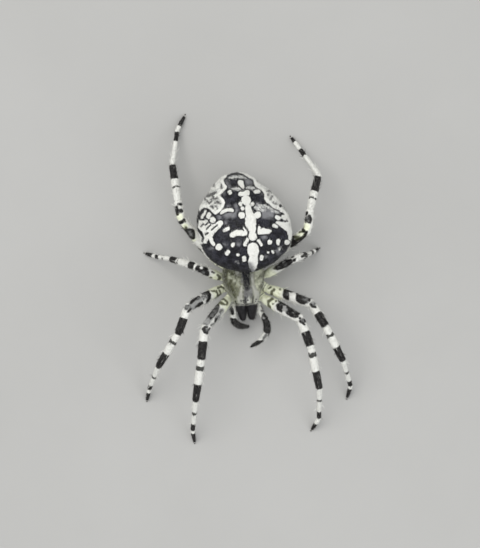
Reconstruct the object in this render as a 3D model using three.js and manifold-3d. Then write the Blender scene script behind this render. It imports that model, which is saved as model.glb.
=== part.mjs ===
// A full-grown female garden orb weaver, life size, standing still with all eight legs spread.
// Millimetres, +Z up. The head points toward -Y and the animal's own left side toward +X.
// Each hard or soft part of the body is one closed solid, and neighbours stay a hair's breadth apart.
import * as THREE from "three";
import { mergeVertices } from "three/addons/utils/BufferGeometryUtils.js";
import Module from "manifold-3d";

const wasm = await Module();
wasm.setup();
const { Manifold, Mesh: SolidMesh } = wasm;

// ---- driving dimensions -------------------------------------------------------------------------
const JOINT_GAP = 0.1; // between one piece and the next
const BODY_TURN = 8; // degrees that the long axis of the body leans off the Y axis
const CARAPACE_TURN = -2; // degrees, against the body's axis
const CARAPACE_AT = [0.39, 0.53]; // x and forward distance of the middle of the carapace
const ABDOMEN_AT = [1.13, -6.35]; // sideways and forward from the middle of the carapace
const FLOOR_TRIM = 0.0; // height of the flats under the feet

// [forward, half width, centre height, top height, bottom height, sideways shift]
const ABDOMEN_SECTIONS = [
  [-5.8, 0.02, 4.2, 4.3, 4.1, -0.55],
  [-5.6, 1.22, 4.35, 5.3, 3.45, -0.55],
  [-4.8, 2.37, 4.6, 6.7, 2.35, -0.62],
  [-4.0, 3.05, 4.85, 7.7, 1.8, -0.6],
  [-3.2, 3.83, 5.2, 8.5, 1.5, -0.55],
  [-2.4, 4.42, 5.5, 9.1, 1.35, -0.52],
  [-1.6, 4.8, 5.8, 9.55, 1.3, -0.48],
  [-0.8, 5.12, 6.05, 9.85, 1.35, -0.36],
  [0.0, 5.27, 6.3, 10.05, 1.45, -0.28],
  [0.8, 5.3, 6.5, 10.2, 1.65, -0.22],
  [1.6, 5.25, 6.9, 10.25, 2.1, -0.15],
  [2.4, 5.1, 7.15, 10.2, 2.85, -0.1],
  [3.2, 4.78, 7.35, 10.0, 3.9, -0.09],
  [4.0, 4.13, 7.4, 9.6, 4.75, -0.12],
  [4.8, 3.0, 7.35, 9.0, 5.4, -0.15],
  [5.45, 1.3, 7.3, 8.1, 6.45, 0],
  [5.72, 0.02, 7.2, 7.3, 7.1, 0],
];
const CARAPACE_SECTIONS = [
  [-2.95, 0.02, 3.45, 3.5, 3.4, 0],
  [-2.75, 0.95, 3.4, 3.95, 3.15, 0],
  [-2.3, 1.62, 3.35, 4.4, 3.05, 0],
  [-1.6, 2.12, 3.3, 4.8, 3.0, 0],
  [-0.8, 2.36, 3.3, 5.05, 2.98, 0],
  [0.0, 2.4, 3.3, 5.15, 2.98, 0],
  [0.8, 2.22, 3.35, 5.35, 3.0, 0],
  [1.5, 1.92, 3.45, 5.5, 3.0, 0],
  [2.1, 1.62, 3.55, 5.5, 3.0, 0],
  [2.6, 1.38, 3.65, 5.25, 3.05, 0],
  [2.9, 1.1, 3.8, 4.8, 3.15, 0],
  [3.0, 0.02, 3.95, 4.0, 3.9, 0],
];
const STERNUM_SECTIONS = [
  [-2.2, 0.02, 2.8, 2.85, 2.75, 0],
  [-1.9, 0.45, 2.8, 3.3, 2.3, 0],
  [-1.0, 0.98, 2.8, 3.4, 2.0, 0],
  [0.0, 1.15, 2.8, 3.5, 1.95, 0],
  [1.0, 1.05, 2.8, 3.5, 2.0, 0],
  [1.6, 0.8, 2.8, 3.5, 2.1, 0],
  [2.2, 0.72, 2.9, 3.5, 2.3, 0],
  [2.55, 0.5, 2.95, 3.5, 2.45, 0],
  [2.7, 0.02, 3.0, 3.1, 2.9, 0],
];
const PEDICEL = { from: [0, -2.2, 3.45], to: [0.75, -4.0, 3.85], radius: 0.5 };

// Length and the radii at even steps of each segment, for leg pairs 1 to 4.
const LEG_PARTS = [
  {
    coxa: 0.72,
    femur: [6.35, [0.5, 0.64, 0.68, 0.66, 0.6, 0.54]],
    patella: [3.5, [0.5, 0.52, 0.52, 0.48]],
    tibia: [5.3, [0.44, 0.48, 0.47, 0.44, 0.42]],
    metatarsus: [5.25, [0.34, 0.29, 0.27, 0.26, 0.27]],
    tarsus: [1.9, [0.25, 0.25, 0.22, 0.15]],
  },
  {
    coxa: 0.68,
    femur: [6.1, [0.5, 0.62, 0.66, 0.64, 0.58, 0.52]],
    patella: [3.05, [0.48, 0.5, 0.5, 0.46]],
    tibia: [4.8, [0.43, 0.46, 0.46, 0.43, 0.41]],
    metatarsus: [4.75, [0.33, 0.28, 0.27, 0.26, 0.27]],
    tarsus: [1.85, [0.25, 0.25, 0.22, 0.15]],
  },
  {
    coxa: 0.6,
    femur: [3.8, [0.45, 0.54, 0.56, 0.54, 0.5, 0.46]],
    patella: [1.65, [0.42, 0.44, 0.44, 0.41]],
    tibia: [2.65, [0.38, 0.41, 0.4, 0.38, 0.36]],
    metatarsus: [2.85, [0.29, 0.26, 0.25, 0.25, 0.25]],
    tarsus: [1.3, [0.25, 0.25, 0.21, 0.15]],
  },
  {
    coxa: 0.68,
    femur: [6.6, [0.5, 0.62, 0.65, 0.62, 0.57, 0.52]],
    patella: [2.4, [0.48, 0.5, 0.49, 0.45]],
    tibia: [4.55, [0.42, 0.46, 0.46, 0.43, 0.4]],
    metatarsus: [4.5, [0.33, 0.28, 0.26, 0.26, 0.27]],
    tarsus: [1.85, [0.25, 0.25, 0.22, 0.15]],
  },
];

// Where each coxa leaves the sternum, and the stance of each leg. root is where the femur starts, and
// both are sideways out, forward and up from the middle of the carapace. yaw turns each of the five
// segments from straight out toward the head, and pitch lifts each; the tarsus falls to the floor.
const COXA_FROM = [
  [1.0, 1.45, 2.55],
  [1.15, 0.5, 2.5],
  [1.1, -0.5, 2.45],
  [0.8, -1.35, 2.45],
];
const STANCE = {
  left: [
    { root: [1.93, 2.53, 3.0], yaw: [37, 78, 86, 98, 130], pitch: [40, 1, -21, -48] },
    { root: [2.54, 1.51, 2.9], yaw: [27, 66, 71, 80, 113], pitch: [28, 14, -19, -49] },
    { root: [2.65, -0.1, 2.8], yaw: [-22, -17, -10, -13, -21], pitch: [44, 33, -69, -72] },
    { root: [3.1, -1.75, 2.65], yaw: [-29, -76, -68, -117, -118], pitch: [30, -16, -22, -36] },
  ],
  right: [
    { root: [2.03, 2.09, 3.0], yaw: [43, 76, 74, 76, 90], pitch: [47, -4, -23, -47] },
    { root: [2.6, 0.79, 2.9], yaw: [21, 62, 51, 59, 70], pitch: [43, -5, -20, -52] },
    { root: [2.59, -0.55, 2.8], yaw: [-31, -27, -24, -18, -25], pitch: [45, -24, -44, -47] },
    { root: [2.85, -2.5, 2.65], yaw: [-58, -87, -89, -106, -124], pitch: [21, -28, -17, -25] },
  ],
};
const FEMUR_ARCH = [0.18, 0.18, 0.12, 0.0]; // how far the middle of each femur stands above its chord
const TARSUS_END = 0.16; // height of the middle of the tip over the floor
const SPINE = { length: [0.75, 1.15], radius: 0.15, sink: 0.2, sides: 4, lean: [38, 56] };
const SPINES_ON = { femur: 4, patella: 2, tibia: 6, foot: 3 }; // on each of the longer legs
const SPINE_SEED = 4021;

const CHELICERA = {
  from: [0.58, 2.35, 3.85], to: [0.52, 4.42, 2.35], radii: [0.52, 0.66, 0.66, 0.57, 0.42],
};
const FANG = { root: [0.45, 4.42, 2.2], hook: [0.1, 4.2, 1.65], tip: [0.12, 3.5, 1.55], radius: 0.22 };
// Sideways out, forward, up and the radius there.
const PALPS = {
  left: [
    [0.85, 2.15, 2.3, 0.34], [1.1, 2.9, 2.4, 0.38], [1.33, 3.7, 2.65, 0.37], [1.62, 4.45, 2.95, 0.34],
    [1.88, 5.1, 3.1, 0.38], [1.97, 5.8, 3.1, 0.42], [1.85, 6.45, 3.05, 0.41], [1.45, 6.98, 2.95, 0.37],
    [0.85, 7.4, 2.8, 0.3], [0.3, 7.68, 2.65, 0.22], [-0.15, 7.88, 2.55, 0.14],
  ],
  right: [
    [0.85, 2.15, 2.3, 0.34], [1.3, 2.75, 2.45, 0.4], [1.62, 3.3, 2.65, 0.42], [1.75, 3.9, 2.85, 0.4],
    [1.8, 4.4, 2.85, 0.37], [1.72, 4.85, 2.6, 0.4], [1.4, 5.2, 2.25, 0.38], [1.0, 5.42, 1.9, 0.33],
    [0.6, 5.53, 1.6, 0.26], [0.25, 5.56, 1.4, 0.17],
  ],
};
const SPINNERETS_AT = [-0.62, -4.3, 2.15]; // sideways, forward and up from the middle of the abdomen
const EYE_RADIUS = { front: 0.12, rear: 0.11, side: 0.095 };
const EYE_GAP = 0.04;
const EYES = [
  ["eye_front_median", 0.27, 2.86, 4.72, EYE_RADIUS.front],
  ["eye_rear_median", 0.25, 2.5, 5.22, EYE_RADIUS.rear],
  ["eye_front_lateral", 1.08, 2.72, 4.42, EYE_RADIUS.side],
  ["eye_rear_lateral", 1.17, 2.5, 4.6, EYE_RADIUS.side],
];

const COLOUR = {
  shell: 0x4b4a35,
  abdomen: 0x3a3a3c,
  pale: 0xd8d9bd,
  white: 0xe9e8df,
  dark: 0x2b2b2d,
  eye: 0x0c0b0b,
  fang: 0x2a1510,
};

// ---- geometry helpers ---------------------------------------------------------------------------
const radians = THREE.MathUtils.degToRad;
const vector = (p) => new THREE.Vector3(...p);

function solidOf(geometry) {
  const bare = geometry.clone();
  bare.deleteAttribute("normal");
  bare.deleteAttribute("uv");
  const merged = mergeVertices(bare, 1e-4);
  return new Manifold(
    new SolidMesh({
      numProp: 3,
      vertProperties: new Float32Array(merged.attributes.position.array),
      triVerts: new Uint32Array(merged.index.array),
    }),
  );
}

function placed(geometry, matrix) {
  return solidOf(geometry.clone().applyMatrix4(matrix));
}

// The largest closed surface of a solid: what a cut leaves loose is dropped.
function largest(solid) {
  const pieces = solid.decompose();
  pieces.sort((a, b) => b.volume() - a.volume());
  return pieces[0];
}

function geometryOf(solid) {
  const { vertProperties, triVerts, numProp } = solid.getMesh();
  const positions = new Float32Array((vertProperties.length / numProp) * 3);
  for (let i = 0; i < positions.length / 3; i++) {
    positions.set(vertProperties.subarray(i * numProp, i * numProp + 3), i * 3);
  }
  const geometry = new THREE.BufferGeometry();
  geometry.setAttribute("position", new THREE.BufferAttribute(positions, 3));
  geometry.setIndex(new THREE.BufferAttribute(new Uint32Array(triVerts), 1));
  geometry.computeVertexNormals();
  return geometry;
}

// Smooth value at x of column k in rows sorted by their first number.
function tableAt(rows, x, k) {
  let i = 0;
  while (i < rows.length - 2 && rows[i + 1][0] < x) i++;
  const [x0, x1] = [rows[i][0], rows[i + 1][0]];
  const [y0, y1] = [rows[i][k], rows[i + 1][k]];
  const before = rows[Math.max(i - 1, 0)];
  const after = rows[Math.min(i + 2, rows.length - 1)];
  const m0 = ((y1 - before[k]) / (x1 - before[0])) * (x1 - x0);
  const m1 = ((after[k] - y0) / (after[0] - x0)) * (x1 - x0);
  const t = THREE.MathUtils.clamp((x - x0) / (x1 - x0), 0, 1);
  const t2 = t * t;
  const t3 = t2 * t;
  return (2 * t3 - 3 * t2 + 1) * y0 + (t3 - 2 * t2 + t) * m0 + (3 * t2 - 2 * t3) * y1 + (t3 - t2) * m1;
}

// A body lofted along its own forward axis through oval sections, its head end toward -Y.
function loftedBody(rows, rings, around, grow = 0) {
  const first = rows[0][0];
  const last = rows[rows.length - 1][0];
  const profile = [];
  for (let i = 0; i <= rings; i++) {
    const angle = (i / rings) * Math.PI;
    const edge = i === 0 || i === rings;
    profile.push(new THREE.Vector2(edge ? 0 : 1, -Math.cos(angle)));
  }
  const geometry = new THREE.LatheGeometry(profile, around);
  const position = geometry.attributes.position;
  for (let i = 0; i < position.count; i++) {
    const [x, y, z] = [position.getX(i), position.getY(i), position.getZ(i)];
    const forward = first + ((y + 1) / 2) * (last - first);
    const pole = Math.hypot(x, z) < 0.5;
    const half = pole ? 0 : tableAt(rows, forward, 1) + grow;
    const middle = tableAt(rows, forward, 2);
    const top = tableAt(rows, forward, 3) + grow;
    const bottom = tableAt(rows, forward, 4) - grow;
    const shift = tableAt(rows, forward, 5);
    const height = pole ? middle : middle + (z > 0 ? (top - middle) * z : (middle - bottom) * z);
    position.setXYZ(i, shift - half * x, -forward - grow * y, height);
  }
  return geometry;
}

// A round limb along +Y with domed ends centred on its joints, arched toward +Z.
function limb(length, radii, sides, arch = 0, grow = 0) {
  const r0 = radii[0] + grow;
  const r1 = radii[radii.length - 1] + grow;
  const profile = [new THREE.Vector2(0, -r0)];
  for (const a of [55, 25]) {
    profile.push(new THREE.Vector2(r0 * Math.cos(radians(a)), -r0 * Math.sin(radians(a))));
  }
  radii.forEach((r, i) => {
    profile.push(new THREE.Vector2(r + grow, (length * i) / (radii.length - 1)));
  });
  for (const a of [25, 55]) {
    profile.push(new THREE.Vector2(r1 * Math.cos(radians(a)), length + r1 * Math.sin(radians(a))));
  }
  profile.push(new THREE.Vector2(0, length + r1));
  const geometry = new THREE.LatheGeometry(profile, sides);
  const position = geometry.attributes.position;
  for (let i = 0; i < position.count; i++) {
    const t = THREE.MathUtils.clamp(position.getY(i) / length, 0, 1);
    position.setZ(i, position.getZ(i) + arch * 4 * t * (1 - t));
  }
  return geometry;
}

// A round limb swept through a bent run of joints, its rings turned to halve each bend.
function bentLimb(stops, radii, sides, grow = 0) {
  const last = stops.length - 1;
  const tangents = stops.map((p, i) => {
    const before = i > 0 ? p.clone().sub(stops[i - 1]).normalize() : new THREE.Vector3();
    const after = i < last ? stops[i + 1].clone().sub(p).normalize() : new THREE.Vector3();
    return before.add(after).normalize();
  });
  const rows = [];
  stops.forEach((centre, i) => rows.push({ centre, tangent: tangents[i], radius: radii[i] + grow }));
  for (const [end, sign] of [[0, -1], [last, 1]]) {
    const { centre, tangent, radius } = rows[sign < 0 ? 0 : rows.length - 1];
    const dome = [[0.8, 0.6], [0.35, 0.93], [0, 1]].map(([across, along]) => ({
      centre: centre.clone().addScaledVector(tangent, sign * along * radius),
      tangent: tangents[end],
      radius: across * radius,
    }));
    if (sign < 0) rows.unshift(...dome.reverse());
    else rows.push(...dome);
  }
  const profile = rows.map(({ radius }, i) => new THREE.Vector2(radius > 0 ? 1 : 0, i));
  const geometry = new THREE.LatheGeometry(profile, sides);
  const position = geometry.attributes.position;
  for (let i = 0; i < position.count; i++) {
    const { centre, tangent, radius } = rows[Math.round(position.getY(i))];
    const across = new THREE.Vector3(position.getX(i), 0, position.getZ(i)).multiplyScalar(radius);
    const at = across.applyMatrix4(aimed(centre, tangent));
    position.setXYZ(i, at.x, at.y, at.z);
  }
  return geometry;
}

// Even stops along straight stretches from joint to joint.
function stopsAlong(joints, counts) {
  const stops = [joints[0]];
  counts.forEach((count, i) => {
    for (let k = 1; k <= count; k++) stops.push(joints[i].clone().lerp(joints[i + 1], k / count));
  });
  return stops;
}

// The matrix that lays +Y along a direction at a point, with +Z kept as far up as it goes.
function aimed(at, direction) {
  const along = direction.clone().normalize();
  const upward = new THREE.Vector3(Math.abs(along.z) > 0.999 ? 1 : 0, 0, 1);
  const side = new THREE.Vector3().crossVectors(along, upward).normalize();
  const up = new THREE.Vector3().crossVectors(side, along);
  return new THREE.Matrix4().makeBasis(side, along, up).setPosition(at);
}

// A large block on the far side of a plane, for trimming a limb at a joint.
function blockBeyond(point, normal) {
  const size = 12;
  const centre = point.clone().addScaledVector(normal, size / 2);
  return placed(new THREE.BoxGeometry(size, size, size), aimed(centre, normal));
}

// Repeatable numbers between 0 and 1.
function randomFrom(seed) {
  let state = seed;
  return () => {
    state = (state + 0x6d2b79f5) | 0;
    let t = Math.imul(state ^ (state >>> 15), 1 | state);
    t = (t + Math.imul(t ^ (t >>> 7), 61 | t)) ^ t;
    return ((t ^ (t >>> 14)) >>> 0) / 4294967296;
  };
}
const draw = randomFrom(SPINE_SEED);
const between = ([low, high]) => low + (high - low) * draw();

// Tapering spines on a straight limb: spread evenly along it and round its upper side, leaning to its tip.
function withSpines(solid, matrix, length, radii, count, reach) {
  const turns = [-100, -35, 30, 95, -65, 65, 0];
  let result = solid;
  for (let i = 0; i < count; i++) {
    const along = length * (reach[0] + ((reach[1] - reach[0]) * (i + 0.3 + 0.4 * draw())) / count);
    const radius = radii[Math.round((along / length) * (radii.length - 1))];
    const turn = radians(turns[i % turns.length] + 20 * (draw() - 0.5));
    const lean = radians(between(SPINE.lean));
    const long = Math.min(between(SPINE.length), (length * 0.97 - along) / Math.cos(lean));
    const out = new THREE.Vector3(Math.sin(turn), 0, Math.cos(turn));
    const direction = out.clone().multiplyScalar(Math.sin(lean)).setY(Math.cos(lean));
    const base = out.clone().multiplyScalar(radius).setY(along).addScaledVector(direction, -SPINE.sink);
    const profile = [
      new THREE.Vector2(0, 0),
      new THREE.Vector2(SPINE.radius, SPINE.sink * 0.5),
      new THREE.Vector2(SPINE.radius * 0.55, SPINE.sink + long * 0.55),
      new THREE.Vector2(0, SPINE.sink + long),
    ];
    const cone = new THREE.LatheGeometry(profile, SPINE.sides).applyMatrix4(aimed(base, direction));
    result = result.add(placed(cone, matrix));
  }
  return result;
}

function ball(radius, at, across, down) {
  return new THREE.SphereGeometry(radius, across, down).translate(...at);
}

// ---- the scene graph ----------------------------------------------------------------------------
const spider = new THREE.Group();
const animal = new THREE.Group();
animal.rotation.z = radians(BODY_TURN);
animal.position.set(CARAPACE_AT[0], -CARAPACE_AT[1], 0);
spider.add(animal);

function addMesh(parent, name, solid, colour, matrix, roughness = 0.6) {
  const inverse = matrix ? matrix.clone().invert() : null;
  const geometry = geometryOf(solid);
  if (inverse) geometry.applyMatrix4(inverse);
  const material = new THREE.MeshStandardMaterial({ color: colour, roughness, metalness: 0 });
  const mesh = new THREE.Mesh(geometry, material);
  mesh.name = name;
  if (matrix) matrix.decompose(mesh.position, mesh.quaternion, mesh.scale);
  parent.add(mesh);
  return mesh;
}

// ---- abdomen and cephalothorax ------------------------------------------------------------------
const abdomenMatrix = new THREE.Matrix4().makeTranslation(ABDOMEN_AT[0], -ABDOMEN_AT[1], 0);
const abdomen = placed(loftedBody(ABDOMEN_SECTIONS, 24, 32), abdomenMatrix);
const abdomenGrown = placed(loftedBody(ABDOMEN_SECTIONS, 24, 32, JOINT_GAP), abdomenMatrix);

const carapaceMatrix = new THREE.Matrix4().makeRotationZ(radians(CARAPACE_TURN));
function cephalothoraxSolid(grow) {
  const shell = placed(loftedBody(CARAPACE_SECTIONS, 16, 24, grow), carapaceMatrix);
  const sternum = placed(loftedBody(STERNUM_SECTIONS, 10, 14, grow), carapaceMatrix);
  return shell.add(sternum);
}
const point = ([side, forward, up]) => new THREE.Vector3(side, -forward, up);
const pedicelRun = point(PEDICEL.to).sub(point(PEDICEL.from));
const pedicel = placed(
  limb(pedicelRun.length(), [PEDICEL.radius, PEDICEL.radius], 10),
  aimed(point(PEDICEL.from), pedicelRun),
);
const eyeSolids = [];
for (const [name, side, forward, up, radius] of EYES) {
  for (const [hand, sign] of [["left", 1], ["right", -1]]) {
    const at = point([side * sign, forward, up]).applyMatrix4(carapaceMatrix);
    eyeSolids.push({ name: name + "_" + hand, at, radius });
  }
}
let cephalothorax = cephalothoraxSolid(0).add(pedicel).subtract(abdomenGrown);
for (const { at, radius } of eyeSolids) {
  const socket = solidOf(ball(radius + EYE_GAP, [at.x, at.y, at.z], 8, 5));
  cephalothorax = cephalothorax.subtract(socket);
}
cephalothorax = largest(cephalothorax);
const bodyGrown = cephalothoraxSolid(JOINT_GAP);
addMesh(animal, "abdomen", largest(abdomen), COLOUR.abdomen, abdomenMatrix, 0.65);
addMesh(animal, "cephalothorax", cephalothorax, COLOUR.shell, null, 0.55);
for (const { name, at, radius } of eyeSolids) {
  const matrix = new THREE.Matrix4().setPosition(at);
  addMesh(animal, name, solidOf(ball(radius, [at.x, at.y, at.z], 8, 5)), COLOUR.eye, matrix, 0.1);
}

// ---- legs ---------------------------------------------------------------------------------------
const heading = (sign, yaw, pitch) => {
  const [a, b] = [radians(yaw), radians(pitch)];
  return new THREE.Vector3(sign * Math.cos(a) * Math.cos(b), -Math.sin(a) * Math.cos(b), Math.sin(b));
};

// Trims two limbs at their joint by the plane that halves the bend, half a gap from it each way.
function jointPlane(at, before, after) {
  const normal = before.clone().add(after).normalize();
  return (sign) => {
    const edge = at.clone().addScaledVector(normal, (sign * JOINT_GAP) / 2);
    return blockBeyond(edge, normal.clone().multiplyScalar(-sign));
  };
}

const coxae = {};
for (const [hand, sign] of [["left", 1], ["right", -1]]) {
  let earlier = null;
  STANCE[hand].forEach((stance, pair) => {
    const size = LEG_PARTS[pair];
    const leg = new THREE.Group();
    animal.add(leg);
    const prefix = "leg" + (pair + 1) + "_" + hand + "_";
    const start = point([COXA_FROM[pair][0] * sign, COXA_FROM[pair][1], COXA_FROM[pair][2]]);
    const root = point([stance.root[0] * sign, stance.root[1], stance.root[2]]);

    // Joints from the trochanter's end to the tip of the tarsus.
    const parts = [size.femur, size.patella, size.tibia, size.metatarsus, size.tarsus];
    const joints = [root];
    const directions = [];
    parts.forEach(([length], i) => {
      const from = joints[i];
      const fall = Math.asin(THREE.MathUtils.clamp((from.z - TARSUS_END) / length, -1, 1));
      const pitch = i < 4 ? stance.pitch[i] : -THREE.MathUtils.radToDeg(fall);
      directions.push(heading(sign, stance.yaw[i], pitch));
      joints.push(from.clone().addScaledVector(directions[i], length));
    });

    // The coxa with its trochanter.
    const run = root.clone().sub(start);
    const coxaMatrix = aimed(start, run);
    const coxaRadii = [0.42, size.coxa * 0.95, size.coxa, size.coxa * 0.84, size.femur[1][0] * 1.08];
    const hip = jointPlane(root, run.clone().normalize(), directions[0]);
    let coxa = placed(limb(run.length(), coxaRadii, 10), coxaMatrix);
    coxa = coxa.subtract(bodyGrown).subtract(abdomenGrown).subtract(hip(-1));
    if (earlier) coxa = coxa.subtract(earlier);
    addMesh(leg, prefix + "coxa", largest(coxa), COLOUR.pale, coxaMatrix);
    earlier = placed(limb(run.length(), coxaRadii, 10, 0, JOINT_GAP), coxaMatrix);
    if (pair === 0) coxae[hand] = earlier;

    // Femur, patella and tibia.
    const names = ["femur", "patella", "tibia"];
    names.forEach((name, i) => {
      const [length, radii] = parts[i];
      const matrix = aimed(joints[i], directions[i]);
      const near = i === 0 ? hip : jointPlane(joints[i], directions[i - 1], directions[i]);
      const far = jointPlane(joints[i + 1], directions[i], directions[i + 1]);
      const sides = name === "femur" ? 10 : 8;
      let solid = placed(limb(length, radii, sides, i === 0 ? FEMUR_ARCH[pair] : 0), matrix);
      const spines = Math.round(SPINES_ON[name] * (pair === 2 ? 0.5 : 1));
      solid = withSpines(solid, matrix, length, radii, spines, i === 0 ? [0.3, 0.85] : [0.15, 0.85]);
      solid = solid.subtract(near(1)).subtract(far(-1));
      const colour = name === "tibia" ? COLOUR.white : COLOUR.dark;
      addMesh(leg, prefix + name, largest(solid), colour, matrix);
    });

    // The foot: metatarsus and tarsus, cut flat where the tip stands on the floor.
    const upper = aimed(joints[3], directions[3]);
    const ankle = jointPlane(joints[3], directions[2], directions[3]);
    const under = new THREE.Vector3(joints[5].x, joints[5].y, FLOOR_TRIM);
    const floor = blockBeyond(under, new THREE.Vector3(0, 0, -1));
    const stops = stopsAlong(joints.slice(3), [size.metatarsus[1].length - 1, size.tarsus[1].length - 1]);
    let foot = solidOf(bentLimb(stops, [...size.metatarsus[1], ...size.tarsus[1].slice(1)], 8));
    const spines = pair === 2 ? 2 : SPINES_ON.foot;
    foot = withSpines(foot, upper, size.metatarsus[0], size.metatarsus[1], spines, [0.12, 0.6]);
    foot = foot.subtract(ankle(1)).subtract(floor);
    addMesh(leg, prefix + "foot", largest(foot), COLOUR.white, upper);
  });
}

// ---- mouth parts --------------------------------------------------------------------------------
const fangs = {};
const jaws = {};
for (const [hand, sign] of [["left", 1], ["right", -1]]) {
  const mirror = ([side, forward, up]) => point([side * sign, forward, up]).applyMatrix4(carapaceMatrix);

  const jawFrom = mirror(CHELICERA.from);
  const jawRun = mirror(CHELICERA.to).sub(jawFrom);
  const jawMatrix = aimed(jawFrom, jawRun);
  const cut = bodyGrown;
  const jaw = placed(limb(jawRun.length(), CHELICERA.radii, 12), jawMatrix).subtract(cut);
  const middle = new THREE.Vector3((sign * JOINT_GAP) / 2, 0, 0).applyMatrix4(carapaceMatrix);
  const inward = new THREE.Vector3(-sign, 0, 0).applyMatrix4(carapaceMatrix);
  jaws[hand] = { solid: jaw.subtract(blockBeyond(middle, inward)), matrix: jawMatrix };
  jaws[hand].grown = placed(limb(jawRun.length(), CHELICERA.radii, 12, 0, JOINT_GAP), jawMatrix);

  const bend = new THREE.QuadraticBezierCurve3(mirror(FANG.root), mirror(FANG.hook), mirror(FANG.tip));
  const curve = bend.getPoints(5);
  const fang = solidOf(bentLimb(curve, curve.map((_, i) => FANG.radius * (1 - 0.15 * i)), 8));
  fangs[hand] = { solid: fang.subtract(jaws[hand].grown), matrix: aimed(mirror(FANG.root), jawRun) };
}
for (const hand of ["left", "right"]) {
  addMesh(animal, "chelicera_" + hand, largest(jaws[hand].solid), COLOUR.dark, jaws[hand].matrix, 0.35);
  addMesh(animal, "fang_" + hand, largest(fangs[hand].solid), COLOUR.fang, fangs[hand].matrix, 0.2);
}

for (const [hand, sign] of [["left", 1], ["right", -1]]) {
  const path = PALPS[hand].map(([side, forward, up]) => point([side * sign, forward, up]));
  let palp = solidOf(bentLimb(path, PALPS[hand].map((stop) => stop[3]), 8));
  palp = palp.subtract(bodyGrown).subtract(coxae[hand]).subtract(jaws.left.grown).subtract(jaws.right.grown);
  const matrix = aimed(path[0], path[1].clone().sub(path[0]));
  addMesh(animal, "palp_" + hand, largest(palp), COLOUR.pale, matrix);
}

// ---- spinnerets ---------------------------------------------------------------------------------
const nozzleRoot = point(SPINNERETS_AT).add(point([ABDOMEN_AT[0], ABDOMEN_AT[1], 0]));
let spinnerets = null;
for (const [side, back, lean] of [[-0.3, 0.25, 0.5], [0.3, 0.25, 0.5], [-0.28, -0.3, 0.9], [0.28, -0.3, 0.9]]) {
  const from = nozzleRoot.clone().add(new THREE.Vector3(side * 0.6, -back * 0.6, 0.1));
  const direction = new THREE.Vector3(side * 0.5, lean * 0.7, -1);
  const cone = placed(limb(0.75, [0.36, 0.34, 0.24, 0.14], 6), aimed(from, direction));
  spinnerets = spinnerets ? spinnerets.add(cone) : cone;
}
const nozzleMatrix = new THREE.Matrix4().setPosition(nozzleRoot);
addMesh(animal, "spinnerets", largest(spinnerets.subtract(abdomenGrown)), COLOUR.dark, nozzleMatrix);

// ---- set the frame: the middle of the outline on the floor is the origin ------------------------
spider.updateMatrixWorld(true);
const box = new THREE.Box3().setFromObject(spider, true);
const shift = box.getCenter(new THREE.Vector3());
spider.position.set(-shift.x, -shift.y, 0);

export default spider;
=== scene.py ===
"""A full-grown female garden orb weaver at life size, standing on a pale floor.

Lengths are millimetres in the tables and metres in the scene. The head points toward -Y, the
animal's own left is +X, and places on the animal are (sideways, -forward, up) from the middle of
the carapace, turned with the body.
"""
from math import cos, pi, radians, sin

import bpy
import numpy as np
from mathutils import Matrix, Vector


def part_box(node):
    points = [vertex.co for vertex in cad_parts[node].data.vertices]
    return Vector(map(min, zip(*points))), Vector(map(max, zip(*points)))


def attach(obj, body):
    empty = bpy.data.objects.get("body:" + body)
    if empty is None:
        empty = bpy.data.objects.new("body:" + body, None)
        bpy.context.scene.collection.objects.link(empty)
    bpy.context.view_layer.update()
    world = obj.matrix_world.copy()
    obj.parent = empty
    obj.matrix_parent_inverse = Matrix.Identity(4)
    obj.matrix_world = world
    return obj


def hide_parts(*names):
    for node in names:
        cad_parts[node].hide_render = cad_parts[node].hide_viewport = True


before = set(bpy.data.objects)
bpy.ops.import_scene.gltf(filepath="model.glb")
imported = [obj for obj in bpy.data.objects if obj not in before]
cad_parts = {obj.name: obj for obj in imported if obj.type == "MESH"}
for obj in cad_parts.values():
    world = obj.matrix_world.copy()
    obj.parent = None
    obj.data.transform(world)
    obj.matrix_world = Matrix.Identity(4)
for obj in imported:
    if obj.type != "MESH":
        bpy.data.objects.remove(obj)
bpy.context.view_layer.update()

# ---- sizes --------------------------------------------------------------------------------------
MM = 0.001
BODY_TURN = radians(8)  # the long axis of the body leans off the Y axis
CARAPACE_TURN = radians(-2)  # against the body's axis
EYES_FROM_MIDDLE = (0.299, -2.844)  # from the middle of the carapace to between the front eyes
ABDOMEN_AT = (1.13, 6.35)
COAT_DEPTH = 0.03  # the skin lies this far inside the solids
ROOT_DEPTH = 0.01  # each hair is rooted this far inside the skin
HAIR_OFF_FLOOR = 0.004  # no hair reaches lower
PATCH = 0.003  # share of the unwrap that a hair takes up at its root
SWEEP_STEP = 0.04  # a limb's axis is worked out at steps of this length

VIEW = (480, 548)  # the camera's view is divided into points, counted across and down
VIEW_HEIGHT = 63.02  # what the view takes in at the height of the body
CAMERA_HEIGHT = 420.0
BODY_HEIGHT = 4.0
CAMERA_OVER = (-1.0907, 0.5849)
SENSOR_HEIGHT = 36.0

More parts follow.
